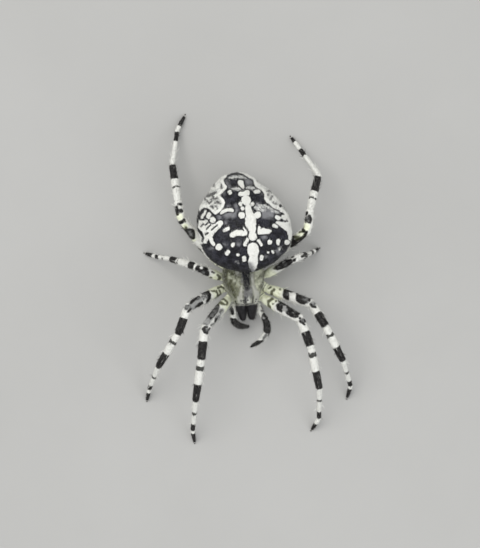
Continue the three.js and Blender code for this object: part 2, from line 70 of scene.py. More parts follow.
# [forward, half width, centre height, top height, bottom height, sideways shift]
ABDOMEN_SECTIONS = [
    (-5.8, 0.02, 4.2, 4.3, 4.1, -0.55), (-5.6, 1.22, 4.35, 5.3, 3.45, -0.55),
    (-4.8, 2.37, 4.6, 6.7, 2.35, -0.62), (-4.0, 3.05, 4.85, 7.7, 1.8, -0.6),
    (-3.2, 3.83, 5.2, 8.5, 1.5, -0.55), (-2.4, 4.42, 5.5, 9.1, 1.35, -0.52),
    (-1.6, 4.8, 5.8, 9.55, 1.3, -0.48), (-0.8, 5.12, 6.05, 9.85, 1.35, -0.36),
    (0.0, 5.27, 6.3, 10.05, 1.45, -0.28), (0.8, 5.3, 6.5, 10.2, 1.65, -0.22),
    (1.6, 5.25, 6.9, 10.25, 2.1, -0.15), (2.4, 5.1, 7.15, 10.2, 2.85, -0.1),
    (3.2, 4.78, 7.35, 10.0, 3.9, -0.09), (4.0, 4.13, 7.4, 9.6, 4.75, -0.12),
    (4.8, 3.0, 7.35, 9.0, 5.4, -0.15), (5.45, 1.3, 7.3, 8.1, 6.45, 0.0),
    (5.72, 0.02, 7.2, 7.3, 7.1, 0.0),
]
CARAPACE_SECTIONS = [
    (-2.95, 0.02, 3.45, 3.5, 3.4, 0.0), (-2.75, 0.95, 3.4, 3.95, 3.15, 0.0),
    (-2.3, 1.62, 3.35, 4.4, 3.05, 0.0), (-1.6, 2.12, 3.3, 4.8, 3.0, 0.0),
    (-0.8, 2.36, 3.3, 5.05, 2.98, 0.0), (0.0, 2.4, 3.3, 5.15, 2.98, 0.0),
    (0.8, 2.22, 3.35, 5.35, 3.0, 0.0), (1.5, 1.92, 3.45, 5.5, 3.0, 0.0),
    (2.1, 1.62, 3.55, 5.5, 3.0, 0.0), (2.6, 1.38, 3.65, 5.25, 3.05, 0.0),
    (2.9, 1.1, 3.8, 4.8, 3.15, 0.0), (3.0, 0.02, 3.95, 4.0, 3.9, 0.0),
]
STERNUM_SECTIONS = [
    (-2.2, 0.02, 2.8, 2.85, 2.75, 0.0), (-1.9, 0.45, 2.8, 3.3, 2.3, 0.0),
    (-1.0, 0.98, 2.8, 3.4, 2.0, 0.0), (0.0, 1.15, 2.8, 3.5, 1.95, 0.0),
    (1.0, 1.05, 2.8, 3.5, 2.0, 0.0), (1.6, 0.8, 2.8, 3.5, 2.1, 0.0),
    (2.2, 0.72, 2.9, 3.5, 2.3, 0.0), (2.55, 0.5, 2.95, 3.5, 2.45, 0.0),
    (2.7, 0.02, 3.0, 3.1, 2.9, 0.0),
]

# Length and the radii at even steps of the femur, patella, tibia, metatarsus and tarsus.
LONG_FEMUR = (0.5, 0.64, 0.68, 0.66, 0.6, 0.54)
TARSUS = (0.25, 0.25, 0.22, 0.15)
LEG_PARTS = [
    (0.72, (6.35, LONG_FEMUR), (3.5, (0.5, 0.52, 0.52, 0.48)),
     (5.3, (0.44, 0.48, 0.47, 0.44, 0.42)), (5.25, (0.34, 0.29, 0.27, 0.26, 0.27)), (1.9, TARSUS)),
    (0.68, (6.1, (0.5, 0.62, 0.66, 0.64, 0.58, 0.52)), (3.05, (0.48, 0.5, 0.5, 0.46)),
     (4.8, (0.43, 0.46, 0.46, 0.43, 0.41)), (4.75, (0.33, 0.28, 0.27, 0.26, 0.27)), (1.85, TARSUS)),
    (0.6, (3.8, (0.45, 0.54, 0.56, 0.54, 0.5, 0.46)), (1.65, (0.42, 0.44, 0.44, 0.41)),
     (2.65, (0.38, 0.41, 0.4, 0.38, 0.36)), (2.85, (0.29, 0.26, 0.25, 0.25, 0.25)),
     (1.3, (0.25, 0.25, 0.21, 0.15))),
    (0.68, (6.6, (0.5, 0.62, 0.65, 0.62, 0.57, 0.52)), (2.4, (0.48, 0.5, 0.49, 0.45)),
     (4.55, (0.42, 0.46, 0.46, 0.43, 0.4)), (4.5, (0.33, 0.28, 0.26, 0.26, 0.27)), (1.85, TARSUS)),
]
LEG_STEPS = 12  # stops along each segment
LEG_GIRTH = 1 - COAT_DEPTH / 0.5  # the skin's share of a leg's girth
ROOT_ENDS = (1.45, 1.45, 1.6, 1.15)  # how far the cream root of each pair of legs reaches
ROOT_SEAM = (0.84, 0.9)  # the olive seam round the end of each coxa
COXA_FROM = [(1.0, 1.45, 2.55), (1.15, 0.5, 2.5), (1.1, -0.5, 2.45), (0.8, -1.35, 2.45)]
FEMUR_ARCH = [0.18, 0.18, 0.12, 0.0]
TARSUS_END = 0.16

# Root of the femur, then the yaw of five segments and the pitch of four, in degrees.
STANCE = {
    "left": [
        ((1.93, 2.53, 3.0), (37, 78, 86, 98, 130), (40, 1, -21, -48)),
        ((2.54, 1.51, 2.9), (27, 66, 71, 80, 113), (28, 14, -19, -49)),
        ((2.65, -0.1, 2.8), (-22, -17, -10, -13, -21), (44, 33, -69, -72)),
        ((3.1, -1.75, 2.65), (-29, -76, -68, -117, -118), (30, -16, -22, -36)),
    ],
    "right": [
        ((2.03, 2.09, 3.0), (43, 76, 74, 76, 90), (47, -4, -23, -47)),
        ((2.6, 0.79, 2.9), (21, 62, 51, 59, 70), (43, -5, -20, -52)),
        ((2.59, -0.55, 2.8), (-31, -27, -24, -18, -25), (45, -24, -44, -47)),
        ((2.85, -2.5, 2.65), (-58, -87, -89, -106, -124), (21, -28, -17, -25)),
    ],
}

# The marks of each leg. Bands and rings go right round it: 1.5 is halfway along the femur, 2.5
# along the patella, 3.5 along the tibia, 4.5 along the metatarsus and 5.5 along the tarsus. The
# others are runs of round spots on its back (across, down, radius), in points of the view.
LEG_MARKS = {
    ("left", 0): {
        "bands": [(2.44, 2.93), (3.54, 3.96), (4.72, 4.94), (5.4, 6.3)],
        "rings": [(3.1, 3.2), (4.3, 4.38)],
        "dark": [
            [(277.8, 305.5, 2), (279, 308.5, 2.1), (281.3, 311, 1.6)], [(281, 304.5, 2.9)],
            [(280.5, 307.5, 2.6)], [(279, 300.8, 1), (283, 302, 2), (285, 303.5, 2.4), (290, 304, 1.4)],
            [(288.3, 306.5, 2), (288.3, 309.5, 2.4), (288.5, 312.5, 2.8), (291, 314.8, 2.1)],
            [(291, 314.8, 2.1), (294.5, 316.8, 1.4), (297.5, 316.2, 1.4)],
            [(291.5, 306.8, 2.6), (294.5, 306.5, 2), (298.8, 306.6, 2)], [(292, 310.5, 3.7)],
            [(295, 309, 2.8)],
            [(289, 308, 2.6), (290.5, 311.5, 3.2), (294.5, 313.3, 3.2), (297.8, 312.6, 2.6)],
            [(300, 318.2, 1.2)], [(300.5, 321.3, 1.5), (302.5, 322.7, 1.3), (304.5, 324.5, 1)],
            [(304.8, 319.5, 1.3), (305, 322, 1)],
        ],
        "grey": [
            [(294.5, 308.8, 1.7), (297.5, 310.5, 1.9)], [(292.3, 312.2, 1)], [(281, 305, 1.2)],
            [(303, 320.5, 0.9)],
        ],
        "pale": [[(284.8, 307.5, 1.5), (285.6, 309.8, 1.3)]],
        "olive": [
            [(272, 299, 1.7), (268.5, 301.5, 1.5), (268.3, 305, 1.3), (270.3, 308, 1.1)], [(276, 301, 1.1)],
            [(273, 304, 1.2)],
        ],
        "wash": [
            [(280, 306, 3.2)], [(285, 308.5, 2.8)], [(290, 310.5, 4.6), (296, 311.5, 4.2)],
            [(302.5, 321, 3)],
        ],
    },
    ("left", 1): {
        "bands": [(2.44, 3.0), (3.58, 3.98), (4.77, 4.96), (5.2, 6.3)],
        "rings": [(3.2, 3.29), (4.4, 4.48)],
        "dark": [
            [(284.5, 289.8, 1.4), (287, 290.2, 1.5), (290.5, 291.2, 1.4), (293.8, 290.9, 1.3)],
            [(285.8, 292.5, 2.9), (285.8, 296, 3.1), (287.5, 298.9, 1.7)],
            [(297, 293, 1.5), (300.5, 292.9, 1.7), (302.8, 293.7, 2.2), (305, 295.3, 1.5)],
            [(297.2, 296.5, 1.6), (297.5, 300, 1.8), (301.5, 301.5, 2.9), (304, 303.2, 1.4)],
            [(306, 301, 2.2), (308.8, 300.3, 1.8)],
            [(310.8, 304, 1.3), (312.3, 306.3, 1.5), (315.5, 307.3, 1.3)],
            [(299, 297.2, 3), (302.5, 298, 4), (306.5, 299.8, 3.4)],
        ],
        "grey": [
            [(286.3, 293.5, 1.4)], [(302.8, 294.6, 1.5)], [(303.5, 298.5, 1.2), (307, 299, 1.4)],
            [(314.6, 303.5, 1.3)],
        ],
        "pale": [[(308.5, 302.3, 0.9)], [(312.5, 302.3, 1.2)]],
        "olive": [
            [(268.5, 288.7, 0.9), (270.8, 287, 0.9)],
            [(274, 289.3, 1.3), (272, 291.5, 1.4), (271.5, 294, 1.4)], [(273, 296.5, 0.9), (276, 299, 1)],
            [(280, 289.4, 1)],
        ],
        "wash": [[(286, 294.5, 3.4)], [(300, 297.5, 4.4), (306, 299.5, 4.2)], [(313, 304.5, 2.9)]],
    },
    ("left", 2): {
        "bands": [(3.5, 3.95), (4.7, 5.0), (5.4, 6.3)],
        "dark": [
            [(277.5, 268, 2.4), (281.5, 265.8, 3.6), (286.5, 263.2, 4.2), (290, 261.6, 2.8)],
            [(294.3, 260.3, 1.6), (295.5, 258.7, 0.9)], [(292, 257.2, 1), (293.8, 256.6, 0.8)],
            [(302, 256.5, 1.3), (304.3, 255, 1.3)],
        ],
        "grey": [[(279, 267.5, 0.9)], [(285.5, 264.5, 1.1)]],
        "pale": [[(283.5, 262.3, 1)]],
        "olive": [[(274.5, 268.5, 1.5), (276.5, 266.3, 1.4)]],
        "wash": [[(280, 267, 2.6), (287, 263.5, 3.2)]],
    },
    ("left", 3): {
        "bands": [(3.5, 3.93), (4.72, 4.97), (5.6, 6.3)],
        "rings": [(3.28, 3.33)],
        "dark": [
            [(307.3, 212.5, 1.3), (306, 214.7, 1.3)],
            [(309.3, 216, 1.7), (309.8, 219, 2.3), (309.4, 222.3, 1.7)],
            [(305.4, 219, 1.5), (305.6, 221.5, 1.4)], [(307.5, 220, 2.5)],
            [(306.8, 231.5, 1.2), (305.8, 233.5, 1.7), (304, 237, 2), (300.5, 239.5, 2.2)],
            [(300.5, 239.5, 2.2), (297, 242, 2.5), (293.5, 244, 2.8), (291.5, 246, 1.4)],
            [(292.8, 236.5, 1.3), (292.5, 240.5, 1.8), (294, 242, 2.8)],
            [(302.5, 228.7, 1.3), (304, 231, 2.2)],
        ],
        "grey": [[(307.5, 217.5, 1.8), (307.5, 220.5, 1.6)]],
        "straw": [[(306, 227, 4)], [(301.5, 234.5, 3), (296.5, 238, 2.5)]],
        "olive": [
            [(299.5, 232.3, 1.1), (302, 231.5, 1.2)],
            [(295, 236.9, 1.6), (298.3, 237.3, 1.3), (297, 239.5, 2)],
        ],
        "wash": [[(308, 219, 3)], [(297, 239, 3.6)]],
    },
    ("right", 0): {
        "bands": [(2.4, 3.0), (3.58, 4.0), (4.75, 4.96), (5.15, 6.3)],
        "rings": [(3.14, 3.25), (4.35, 4.44)],
        "dark": [
            [(216.5, 306.8, 3.2), (214.5, 310, 3.8), (211, 314.5, 3.9), (209, 317, 3.1)],
            [(216.3, 319, 1.4), (215.3, 321.3, 1.2)], [(203.8, 329.3, 2.1), (205, 332.2, 1.6)],
            [(209.4, 328.7, 1.3), (209, 330.5, 1.2), (207.3, 333, 1.2)],
            [(204.5, 327, 0.9), (207.5, 327, 0.9)],
        ],
        "grey": [
            [(216.9, 307, 1.7), (214.6, 311, 1.8), (211.6, 315.5, 2)], [(214, 323, 1), (211.5, 325.3, 1)],
            [(207.6, 330, 1.2)],
        ],
        "pale": [[(207.8, 319.5, 2), (207, 322.5, 1.7)]],
        "olive": [
            [(219.5, 300, 1.8), (218, 303.5, 1.6)], [(221.5, 303, 1.7), (225, 304.7, 1.1)],
            [(221.2, 311.4, 0.9)],
            [(221.5, 298.3, 1.4), (224.5, 299.5, 1), (227.5, 302.5, 1.1), (226.5, 305, 1.1)],
        ],
        "wash": [
            [(216.5, 307, 3), (211, 315, 3.6), (206.5, 323, 3.4)], [(206.5, 330, 2.6)],
            [(221, 311, 2.6), (216.5, 318.5, 2.4)],
        ],
    },
    ("right", 1): {
        "bands": [(2.4, 3.04), (3.61, 4.04), (4.82, 5.0), (5.32, 6.3)],
        "rings": [(3.22, 3.31), (4.42, 4.5)],
        "dark": [
            [(208.3, 292, 1.7), (209.3, 295, 2), (209.3, 298.5, 1.7), (207, 301.6, 1.3)],
            [(203.6, 293.7, 1.8), (208, 292.2, 1.8)],
            [(197.5, 296.2, 1.6), (193.3, 300.3, 2.2), (191, 303, 1.3)], [(198.3, 298.2, 2.5)],
            [(201.5, 302.8, 2), (199, 305, 1.8), (195.5, 306.8, 1.2)],
            [(190.5, 309, 1.4), (188.4, 311.4, 1.3)], [(186.3, 308.3, 1.5)],
            [(186, 305.3, 0.7), (189, 305.6, 0.7)],
        ],
        "grey": [[(199, 298.3, 1.6)], [(187, 306.8, 1.6)], [(203.5, 294.5, 0.9), (207, 294, 0.8)]],
        "pale": [[(200.8, 299.8, 1.5), (197, 301.8, 1.6), (193.7, 304.5, 1.6), (193, 307, 1.8)]],
        "olive": [
            [(218, 288, 1), (221, 286.5, 0.9), (224, 288, 0.9), (226, 291, 0.9), (228, 294.3, 0.9)],
            [(216.3, 290.8, 1.3), (217, 293.2, 0.9), (218.5, 296, 1.5)],
            [(217.5, 297, 0.8), (215.3, 298.9, 0.7)],
            [(219.5, 290.5, 1), (221, 293.5, 1), (219.3, 295.8, 1.5)],
            [(211, 290.8, 0.7), (214.5, 290.8, 1)],
        ],
        "wash": [
            [(207.5, 296.5, 3.2)], [(203, 298, 2.5)], [(198, 300.5, 4.2), (192, 306, 4.2)],
            [(187, 308, 2.6)],
        ],
    },
    ("right", 2): {
        "bands": [(2.3, 2.76), (3.55, 4.0), (4.7, 4.9), (5.2, 6.3)],
        "rings": [(3.42, 3.48), (4.42, 4.48)],
        "dark": [
            [(198.5, 269, 3.5), (204, 271.5, 4.8), (207, 273.8, 2.8)],
            [(212, 271.8, 0.9), (214.5, 273, 0.8)], [(190.5, 265, 1.8), (191.5, 268, 1.6)],
        ],
        "grey": [[(203, 272.5, 1.4)]],
        # the white spot at the end of the femur is a painted glint
        "white": [[(201.5, 267.6, 1.5)]],
        "olive": [[(210.7, 278, 1.4)], [(217.5, 275, 1), (219.8, 277.7, 1.6), (217.5, 281, 1.1)]],
        "wash": [[(203, 271.5, 4.2)]],
    },
    ("right", 3): {
        "bands": [(3.59, 3.97), (4.66, 4.93), (5.28, 6.3)],
        "rings": [(3.35, 3.39)],
        "dark": [
            [(178.8, 204, 1.5), (180.6, 204.3, 1.8)],
            [(176.8, 207.5, 1.8), (177.3, 211, 2.6), (177.5, 214.5, 1.4)], [(181.2, 211, 2.2)],
            [(179.8, 222.8, 1.8), (182, 222, 2.2), (184, 220, 1.4)],
            [(180.6, 226.3, 1), (183.5, 230.3, 1.7), (187, 235, 2.8), (190.2, 238, 2.8)],
            [(187, 230.7, 2.1), (190.5, 232.5, 4.4), (192, 236.5, 3.5)],
            [(197.5, 247.5, 0.8), (200, 250.3, 1.2), (202.5, 253.3, 0.9)],
        ],
        "grey": [[(179.2, 212.3, 1.2)], [(190, 231.5, 1.6), (191.5, 235, 1.6)]],
        "white": [[(179.6, 207.3, 1.7)]],
        "straw": [[(179.5, 217, 3.5)], [(185, 226.5, 3)], [(194, 240, 1.5)]],
        "olive": [[(185.2, 221.5, 1)], [(185.8, 228, 1.4)]],
        "wash": [[(178.5, 209, 3.2)], [(187, 232, 3.6)]],
    },
}

# ---- marks of the body, as runs of round spots (across, down, radius) in points of the view -----
# Cloud is a grey haze, blots are grey lines on the flanks, and the drop fades at its front end.
ABDOMEN_MARKS = {
    "white": [
        [(253, 248.5, 5.6), (253.2, 251, 5.9), (253.6, 257, 4.1), (252.9, 262.5, 4.9), (253, 266.5, 3.8),
         (253, 271, 1.6)], [(252.8, 236.5, 4.2)],
        [(247.9, 205.8, 2.2), (248.1, 208.6, 3), (249.8, 214.4, 3.9), (250.5, 220, 5.4)],
        [(250.5, 220, 5.4), (250.9, 224.5, 5.5), (251.8, 229, 4.2), (252.2, 231, 3)], [(246.2, 200.2, 4.9)],
        [(240.5, 194.2, 2.4), (243.7, 194, 2), (247, 192.6, 2.8)], [(240.6, 204, 2.1)],
        [(242.7, 208.4, 1.9)], [(252.3, 204.2, 2)], [(241.7, 215.3, 3.4)], [(257.6, 215, 3.4)],
        [(240.7, 182.9, 2.9), (243, 187.3, 1.6)], [(229.8, 192.2, 2.3)],
        [(255.4, 191.9, 1.8), (258.8, 191.7, 1.8)], [(232.3, 235, 2.6), (237, 233, 2.9), (245, 232.9, 2.9)],
        [(259.5, 232, 2.7), (264, 231.2, 3.2), (268, 231.5, 2.6), (271, 231, 0.6)],
        [(259.3, 227.5, 1.4), (258.8, 231, 1.4)], [(243.8, 228.3, 1), (245.2, 230.6, 1)],
        [(247.3, 239.8, 1.8), (245, 244.3, 1.9)], [(258.6, 240.8, 1.7), (261.3, 245, 1.4)],
        [(218.9, 247.3, 3.3)], [(232.9, 244.8, 2.2)], [(228.2, 251.8, 1.9), (226.8, 253.8, 1.9)],
        [(238, 254.9, 1.7)], [(244, 257.8, 2.1), (244.2, 260, 2)], [(269.7, 242.1, 2.4)],
        [(278.2, 240.8, 1.9), (278, 243.9, 1.7)], [(286.9, 242.4, 2.6)], [(267.9, 252.3, 1.2)],
        [(272.2, 251.2, 1.1), (273.4, 252.6, 1)], [(261.8, 256.4, 1.8), (261.4, 259, 1.7)],
        [(224.4, 230.3, 1.7), (228.3, 228.5, 1.8)], [(273.9, 225.6, 1.8), (276.4, 226.8, 1.8)],
        [(220.4, 223.2, 2.7), (216.5, 228, 2.3), (212.2, 232.2, 2.2)],
        [(212.2, 232.2, 2.2), (210.4, 236.8, 2.2), (211.6, 241.3, 2), (213.7, 244.4, 1.7)],
        [(207.2, 236.8, 2.2), (205.6, 241.3, 1.6)], [(200, 223, 1.6), (204, 222, 1.5), (207, 221.5, 1)],
        [(200, 227.5, 1.6), (203.5, 228, 2.4), (207.5, 225, 1.4)], [(208.5, 229, 1.5), (212.3, 226, 1.6)],
        [(205.6, 211.6, 1.3), (201.9, 217.9, 1.3)], [(209.2, 214.6, 2.2), (208.3, 217, 2.1)],
        [(212.9, 219.5, 2.6), (212.5, 220.8, 2.4)], [(277.2, 217.2, 2.1), (278.4, 218.2, 2.1)],
        [(283, 217.3, 2), (285.2, 218.6, 1.8)],
        [(278.8, 223.2, 1.8), (284, 225.6, 2.8), (288.5, 229.5, 2.6)],
        [(288.5, 229.5, 2.6), (290.5, 235.5, 2), (290, 239, 1.4)], [(203.5, 232, 1.6), (206, 230.5, 1.5)],
        [(221, 213.2, 1.3), (223.7, 211.4, 1.8), (227.5, 210, 1.7), (231, 209.8, 1.7), (233, 210.5, 1.2)],
    ],
    "pale": [
        [(279.7, 248.7, 1.5)], [(255, 207.3, 1.6), (260, 206.6, 1.9), (266, 206.8, 2), (270.5, 208.3, 1.8)],
        [(270.5, 208.3, 1.8), (275.5, 211.3, 1.6), (280, 212.3, 1.2)], [(258, 209.5, 1.2), (264, 210, 1.4)],
        [(232, 189.2, 1.3), (237, 189.3, 1.6), (241.5, 189.3, 1.4), (245, 188.5, 1.4), (250, 188.2, 1.6),
         (254, 188.8, 1.3)],
        [(229.5, 178.2, 1), (233, 177.4, 1.3), (238, 176.9, 1.4), (242, 177.5, 1.5), (245.5, 177.6, 0.9)],
        [(237.3, 262.5, 0.7)],
    ],
    "cloud": [
        [(226, 214.5, 3.2), (232, 214, 3.6), (236, 211, 2.2)], [(225.5, 222, 1.5)], [(219.5, 217.5, 2)],
        [(264.5, 214, 4.2), (270, 214.5, 4.6)], [(236.5, 206.5, 1.8)], [(228.5, 207.3, 1.6)],
        [(264.5, 237.3, 2.2)], [(212, 248, 1.5)], [(225.5, 245, 0.9)],
        [(226.5, 182.5, 1.8), (228.5, 187, 1)], [(247.5, 181.5, 2.6), (250.5, 183, 2)], [(257, 204, 1.2)],
        [(223.5, 192.8, 1.4)], [(262, 193, 1.4)], [(277.3, 252, 1.6)], [(266, 256.8, 0.9)],
        [(239, 243.5, 1.6)],
    ],
    "line": [
        [(247.9, 228.5, 0.5), (247.9, 236, 0.6)],
        [(256.9, 226.5, 0.5), (256.8, 232, 0.7), (257.2, 236, 0.5)], [(256, 232.6, 0.9)],
        [(248.4, 231.6, 0.8)], [(243.2, 229.6, 0.7), (243.9, 231, 0.4)],
        [(246.8, 244.8, 0.5), (249, 242.4, 0.6), (253, 241.5, 0.6), (257, 242.3, 0.6), (259.5, 245.5, 0.5)],
        [(199.3, 219.8, 0.9), (204, 219.8, 0.9), (207, 218.9, 0.8)],
        [(201.2, 226.6, 1), (203.3, 224.2, 0.9)], [(206.5, 229.3, 0.8), (210.6, 224.9, 0.8)],
        [(205.2, 225.2, 0.8), (208.2, 222.8, 0.8)], [(211.5, 230, 0.8), (217.3, 225, 0.8)],
        [(205.6, 234.6, 0.9), (208, 233, 0.9)],
        [(198.8, 211.5, 1.1), (198.3, 217, 0.9), (197.8, 222.5, 0.9), (196.3, 227.5, 1.3),
         (198.5, 230.5, 1.3)],
        [(198.5, 230.5, 1.2), (200.5, 232.3, 1.7), (202.5, 236, 1.2), (203.5, 238, 1), (202.4, 241.5, 0.9)],
        [(207.8, 242.3, 1)], [(204.8, 208.7, 0.8), (202, 210.7, 0.9)],
        [(281.8, 213.4, 1), (284, 214.6, 0.6)], [(281, 220.9, 0.6), (284, 221.6, 0.6), (287.5, 221.3, 0.5)],
        [(280.5, 206, 1.6)],
    ],
    "blot": [
        [(206.8, 196, 1.8), (211, 195, 1.7), (216, 192.5, 1.2)], [(212.5, 196, 1.1), (214, 198, 1.1)],
        [(203.5, 198.5, 1.1), (207.5, 201, 0.9), (209.3, 203.5, 1.1)],
        [(211, 202, 1.2), (212.2, 199, 1.1), (218, 198, 1.1)],
        [(216, 203.5, 1.1), (217.8, 202.3, 1.3), (220, 203.5, 1.1)], [(215, 206, 1.1), (217.2, 208, 1.1)],
        [(214, 186, 1.1), (211, 185.5, 1.1)], [(221.5, 188, 1.3), (221.5, 185.5, 1.1)],
        [(212, 207.5, 2.4), (209, 209, 1.7)], [(258.5, 181.5, 1)], [(269.5, 187, 1)],
        [(267.5, 191.5, 0.8), (272, 192.3, 0.8)], [(268, 194.6, 1)], [(272.2, 197, 1.1), (270.3, 199.3, 1)],
        [(273.5, 202.5, 0.9), (277, 204.2, 0.8)], [(283.5, 208.5, 0.7), (286.5, 212, 0.7)],
    ],
    "fade": [[(249.3, 263.2, 1.4), (250.8, 267, 2.5), (252.3, 270.8, 3)]],
}
# The outline of the dark leaf on the back (the folium); its front third runs over the flanks.
LEAF_EDGE = [
    (227, 175.5), (226, 177.5), (224.3, 179), (223.6, 181.5), (225.5, 184.5), (227.2, 186.7), (226.3, 189),
    (224, 191.5), (221.5, 194), (219.6, 195.2), (221.5, 197.2), (224.2, 200), (225, 203), (224.2, 206),
    (222.5, 208.7), (220.5, 211), (218, 213.3), (215.5, 214.8), (212.5, 212.6), (210, 210.3), (206.5, 208),
    (203.5, 207.9), (200.8, 210.5), (199, 214.5), (198.3, 219.2), (199.5, 220.6), (203.5, 220.3),
    (206.8, 219.2), (208, 221.2), (207.8, 223.3), (210.3, 223.8), (213, 224.3), (215.5, 223.5),
    (217.5, 221.5), (220.4, 223.2), (216.5, 228), (212.2, 232.2), (209.5, 236.8), (208, 240), (207, 243.5),
    (203.2, 243.5), (200.1, 245.8), (197.7, 250.6), (194.3, 254.6), (191.4, 262.5), (190, 285), (305, 285),
    (311.7, 258.9), (305.5, 249.6), (301.3, 244.9), (295.5, 241.3), (291, 240.5), (288.3, 239.2),
    (288, 236), (287.2, 232), (284, 229), (279, 225.6), (275.5, 222.6), (276.3, 221.2), (281, 221.6),
    (286, 222.3), (288, 221.6), (287, 220.5), (283, 220), (281.5, 217.8), (281.8, 215), (284.8, 214.8),
    (283.5, 212.9), (281, 212.3), (278.5, 210.4), (276, 209.3), (272.5, 207.5), (269.5, 204.8),
    (266.2, 202), (264.2, 198.5), (264, 194), (262.3, 191), (259.5, 189.3), (256.6, 187.9), (254, 184.5),
    (253.6, 180.8), (251, 179.2), (247, 176.8), (244, 174.6), (241, 173.5), (236, 172.6), (231, 173.6),
]
# The underside's marks aren't in the view: these are millimetres from the middle of the abdomen.
BELLY_MARKS = {
    "belly": [[(-0.4, -3.2, 1.0), (-0.3, -1.0, 1.5), (-0.2, 0.8, 1.6), (-0.1, 2.3, 1.2)]],
    "commas": [
        [(-1.9, 1.5, 0.3), (-2.05, 0.3, 0.34), (-1.9, -1.0, 0.3), (-1.5, -2.0, 0.16)],
        [(1.5, 1.5, 0.3), (1.6, 0.3, 0.34), (1.35, -1.0, 0.3), (0.9, -2.0, 0.16)], [(-1.5, -3.7, 0.2)],
        [(0.3, -3.7, 0.2)], [(-1.4, -4.6, 0.18)], [(0.2, -4.6, 0.18)],
    ],
}
CARAPACE_MARKS = {
    "stripe": [[(246, 266, 4), (246.2, 272, 3.9), (246.4, 279, 3.8), (246.8, 285, 3.4), (247.2, 288, 2.4)]],
    "grey": [
        [(242.3, 272, 1.4), (242, 282, 1.2)], [(247.5, 290, 4), (247.5, 296, 4), (247, 301, 3.6)],
        [(251, 287, 1.6), (251.5, 296, 1.5)], [(251, 274, 0.8), (250.8, 284, 0.8)],
    ],
    "streak": [
        [(241.8, 286, 0.9), (241, 292, 1.4), (240.5, 297, 1.7), (241, 303, 1.9)],
        [(238, 297, 1), (238.7, 301, 1.2)], [(249, 297.5, 1), (249, 302.5, 2)],
        [(252.6, 274, 0.9), (252.3, 280, 0.9), (253.3, 285, 1.5), (256, 291, 2.3)],
        [(256, 291, 2.3), (257.2, 297, 2.6), (257, 302, 2.4)], [(236.5, 272.3, 1.3), (239, 272.6, 0.8)],
    ],
    "lines": [
        [(253, 296.5, 0.7), (252.9, 300, 1), (252.9, 304, 1.2)], [(245, 297, 0.7), (245.5, 302, 1)],
        [(241.2, 300.5, 1.2)],
        [(238.6, 304, 0.7), (243.1, 304.6, 1), (249.1, 303.9, 1), (253.4, 302.4, 0.7)],
    ],
    "olive": [
        [(226.5, 270.5, 1.8), (225.3, 276, 2.2), (226, 281, 2.2), (227, 285, 1.8), (231, 287.5, 2.6)],
        [(231, 287.5, 2.6), (233, 291, 2), (235, 297, 1.3)], [(230.5, 281, 1.6), (229.5, 284, 1.6)],
        [(232, 273.5, 1.6), (235, 275.5, 1.3)], [(263, 271, 1), (264, 277, 1.5), (263.3, 282, 1.2)],
        [(261.5, 285.5, 2), (261.8, 290, 2), (260.8, 294, 1.2)], [(258, 278, 0.9), (260.5, 276, 0.9)],
    ],
    "pale": [
        [(230.3, 277.5, 1.6)], [(234.5, 281, 1.5)], [(261, 281.5, 1.5)], [(258, 272.5, 1.8)],
        [(238, 279, 1), (238, 284, 1.2)],
    ],
}
# Depth of each kind of groove, how softly it fades out, and where it runs, in millimetres from the
# middle of the carapace: the pit behind its middle, the two edges of the head, and the rays.
CARAPACE_GROOVES = [
    (0.16, 0.22, [[(-0.25, -0.95, 0.1), (0.25, -0.95, 0.1)]]),
    (0.09, 0.22, [[(s * 0.25, -0.7, 0.04), (s * 1.0, 0.5, 0.05), (s * 1.45, 1.4, 0.03)] for s in (1, -1)]),
    (0.04, 0.16, [
        [(s * 0.3, -0.95, 0.02), (s * aside, forward, 0.03)]
        for s in (1, -1) for aside, forward in ((1.9, 0.5), (2.1, -0.5), (1.8, -1.7), (1.0, -2.4))
    ]),
]

CHELICERA = [(0.58, 2.35, 3.85), (0.52, 4.42, 2.35)]
CHELICERA_RADII = (0.52, 0.66, 0.66, 0.57, 0.42)
FANG = [(0.45, 4.42, 2.2), (0.1, 4.2, 1.65), (0.12, 3.5, 1.55)]
FANG_RADIUS = 0.22
# Sideways out, forward, up and the radius there.
PALPS = {
    "left": [
        (0.85, 2.15, 2.3, 0.34), (1.1, 2.9, 2.4, 0.38), (1.33, 3.7, 2.65, 0.37), (1.62, 4.45, 2.95, 0.34),
        (1.88, 5.1, 3.1, 0.38), (1.97, 5.8, 3.1, 0.42), (1.85, 6.45, 3.05, 0.41), (1.45, 6.98, 2.95, 0.37),
        (0.85, 7.4, 2.8, 0.3), (0.3, 7.68, 2.65, 0.22), (-0.15, 7.88, 2.55, 0.14),
    ],
    "right": [
        (0.85, 2.15, 2.3, 0.34), (1.3, 2.75, 2.45, 0.4), (1.62, 3.3, 2.65, 0.42), (1.75, 3.9, 2.85, 0.4),
        (1.8, 4.4, 2.85, 0.37), (1.72, 4.85, 2.6, 0.4), (1.4, 5.2, 2.25, 0.38), (1.0, 5.42, 1.9, 0.33),
        (0.6, 5.53, 1.6, 0.26), (0.25, 5.56, 1.4, 0.17),
    ],
}
PALP_MARKS = {
    "left": {
        "dark": [
            [(262.5, 306, 1.8), (263.8, 308.3, 1.8)],
            [(264.5, 314, 1.6), (266.5, 318, 5.5), (268, 326, 6), (268, 329, 5)],
            [(269.7, 334, 1.6), (268.7, 338, 1.3)], [(262.5, 341.5, 1.6), (258, 343.5, 3), (252, 347, 4)],
        ],
        "grey": [[(262, 310.8, 1.4), (265, 311, 1.2)], [(266, 335, 1.6), (263.5, 338.5, 1.4)]],
        "pale": [[(263.5, 318, 1)]],
    },
    "right": {
        "dark": [
            [(230.3, 307, 1.6), (232, 310, 1.9), (232.7, 313.5, 1.7)],
            [(231, 321, 3.2), (236, 324, 6), (241, 326, 6.5), (248, 327, 6)],
        ],
        "grey": [[(231.5, 309, 0.8)]],
    },
}
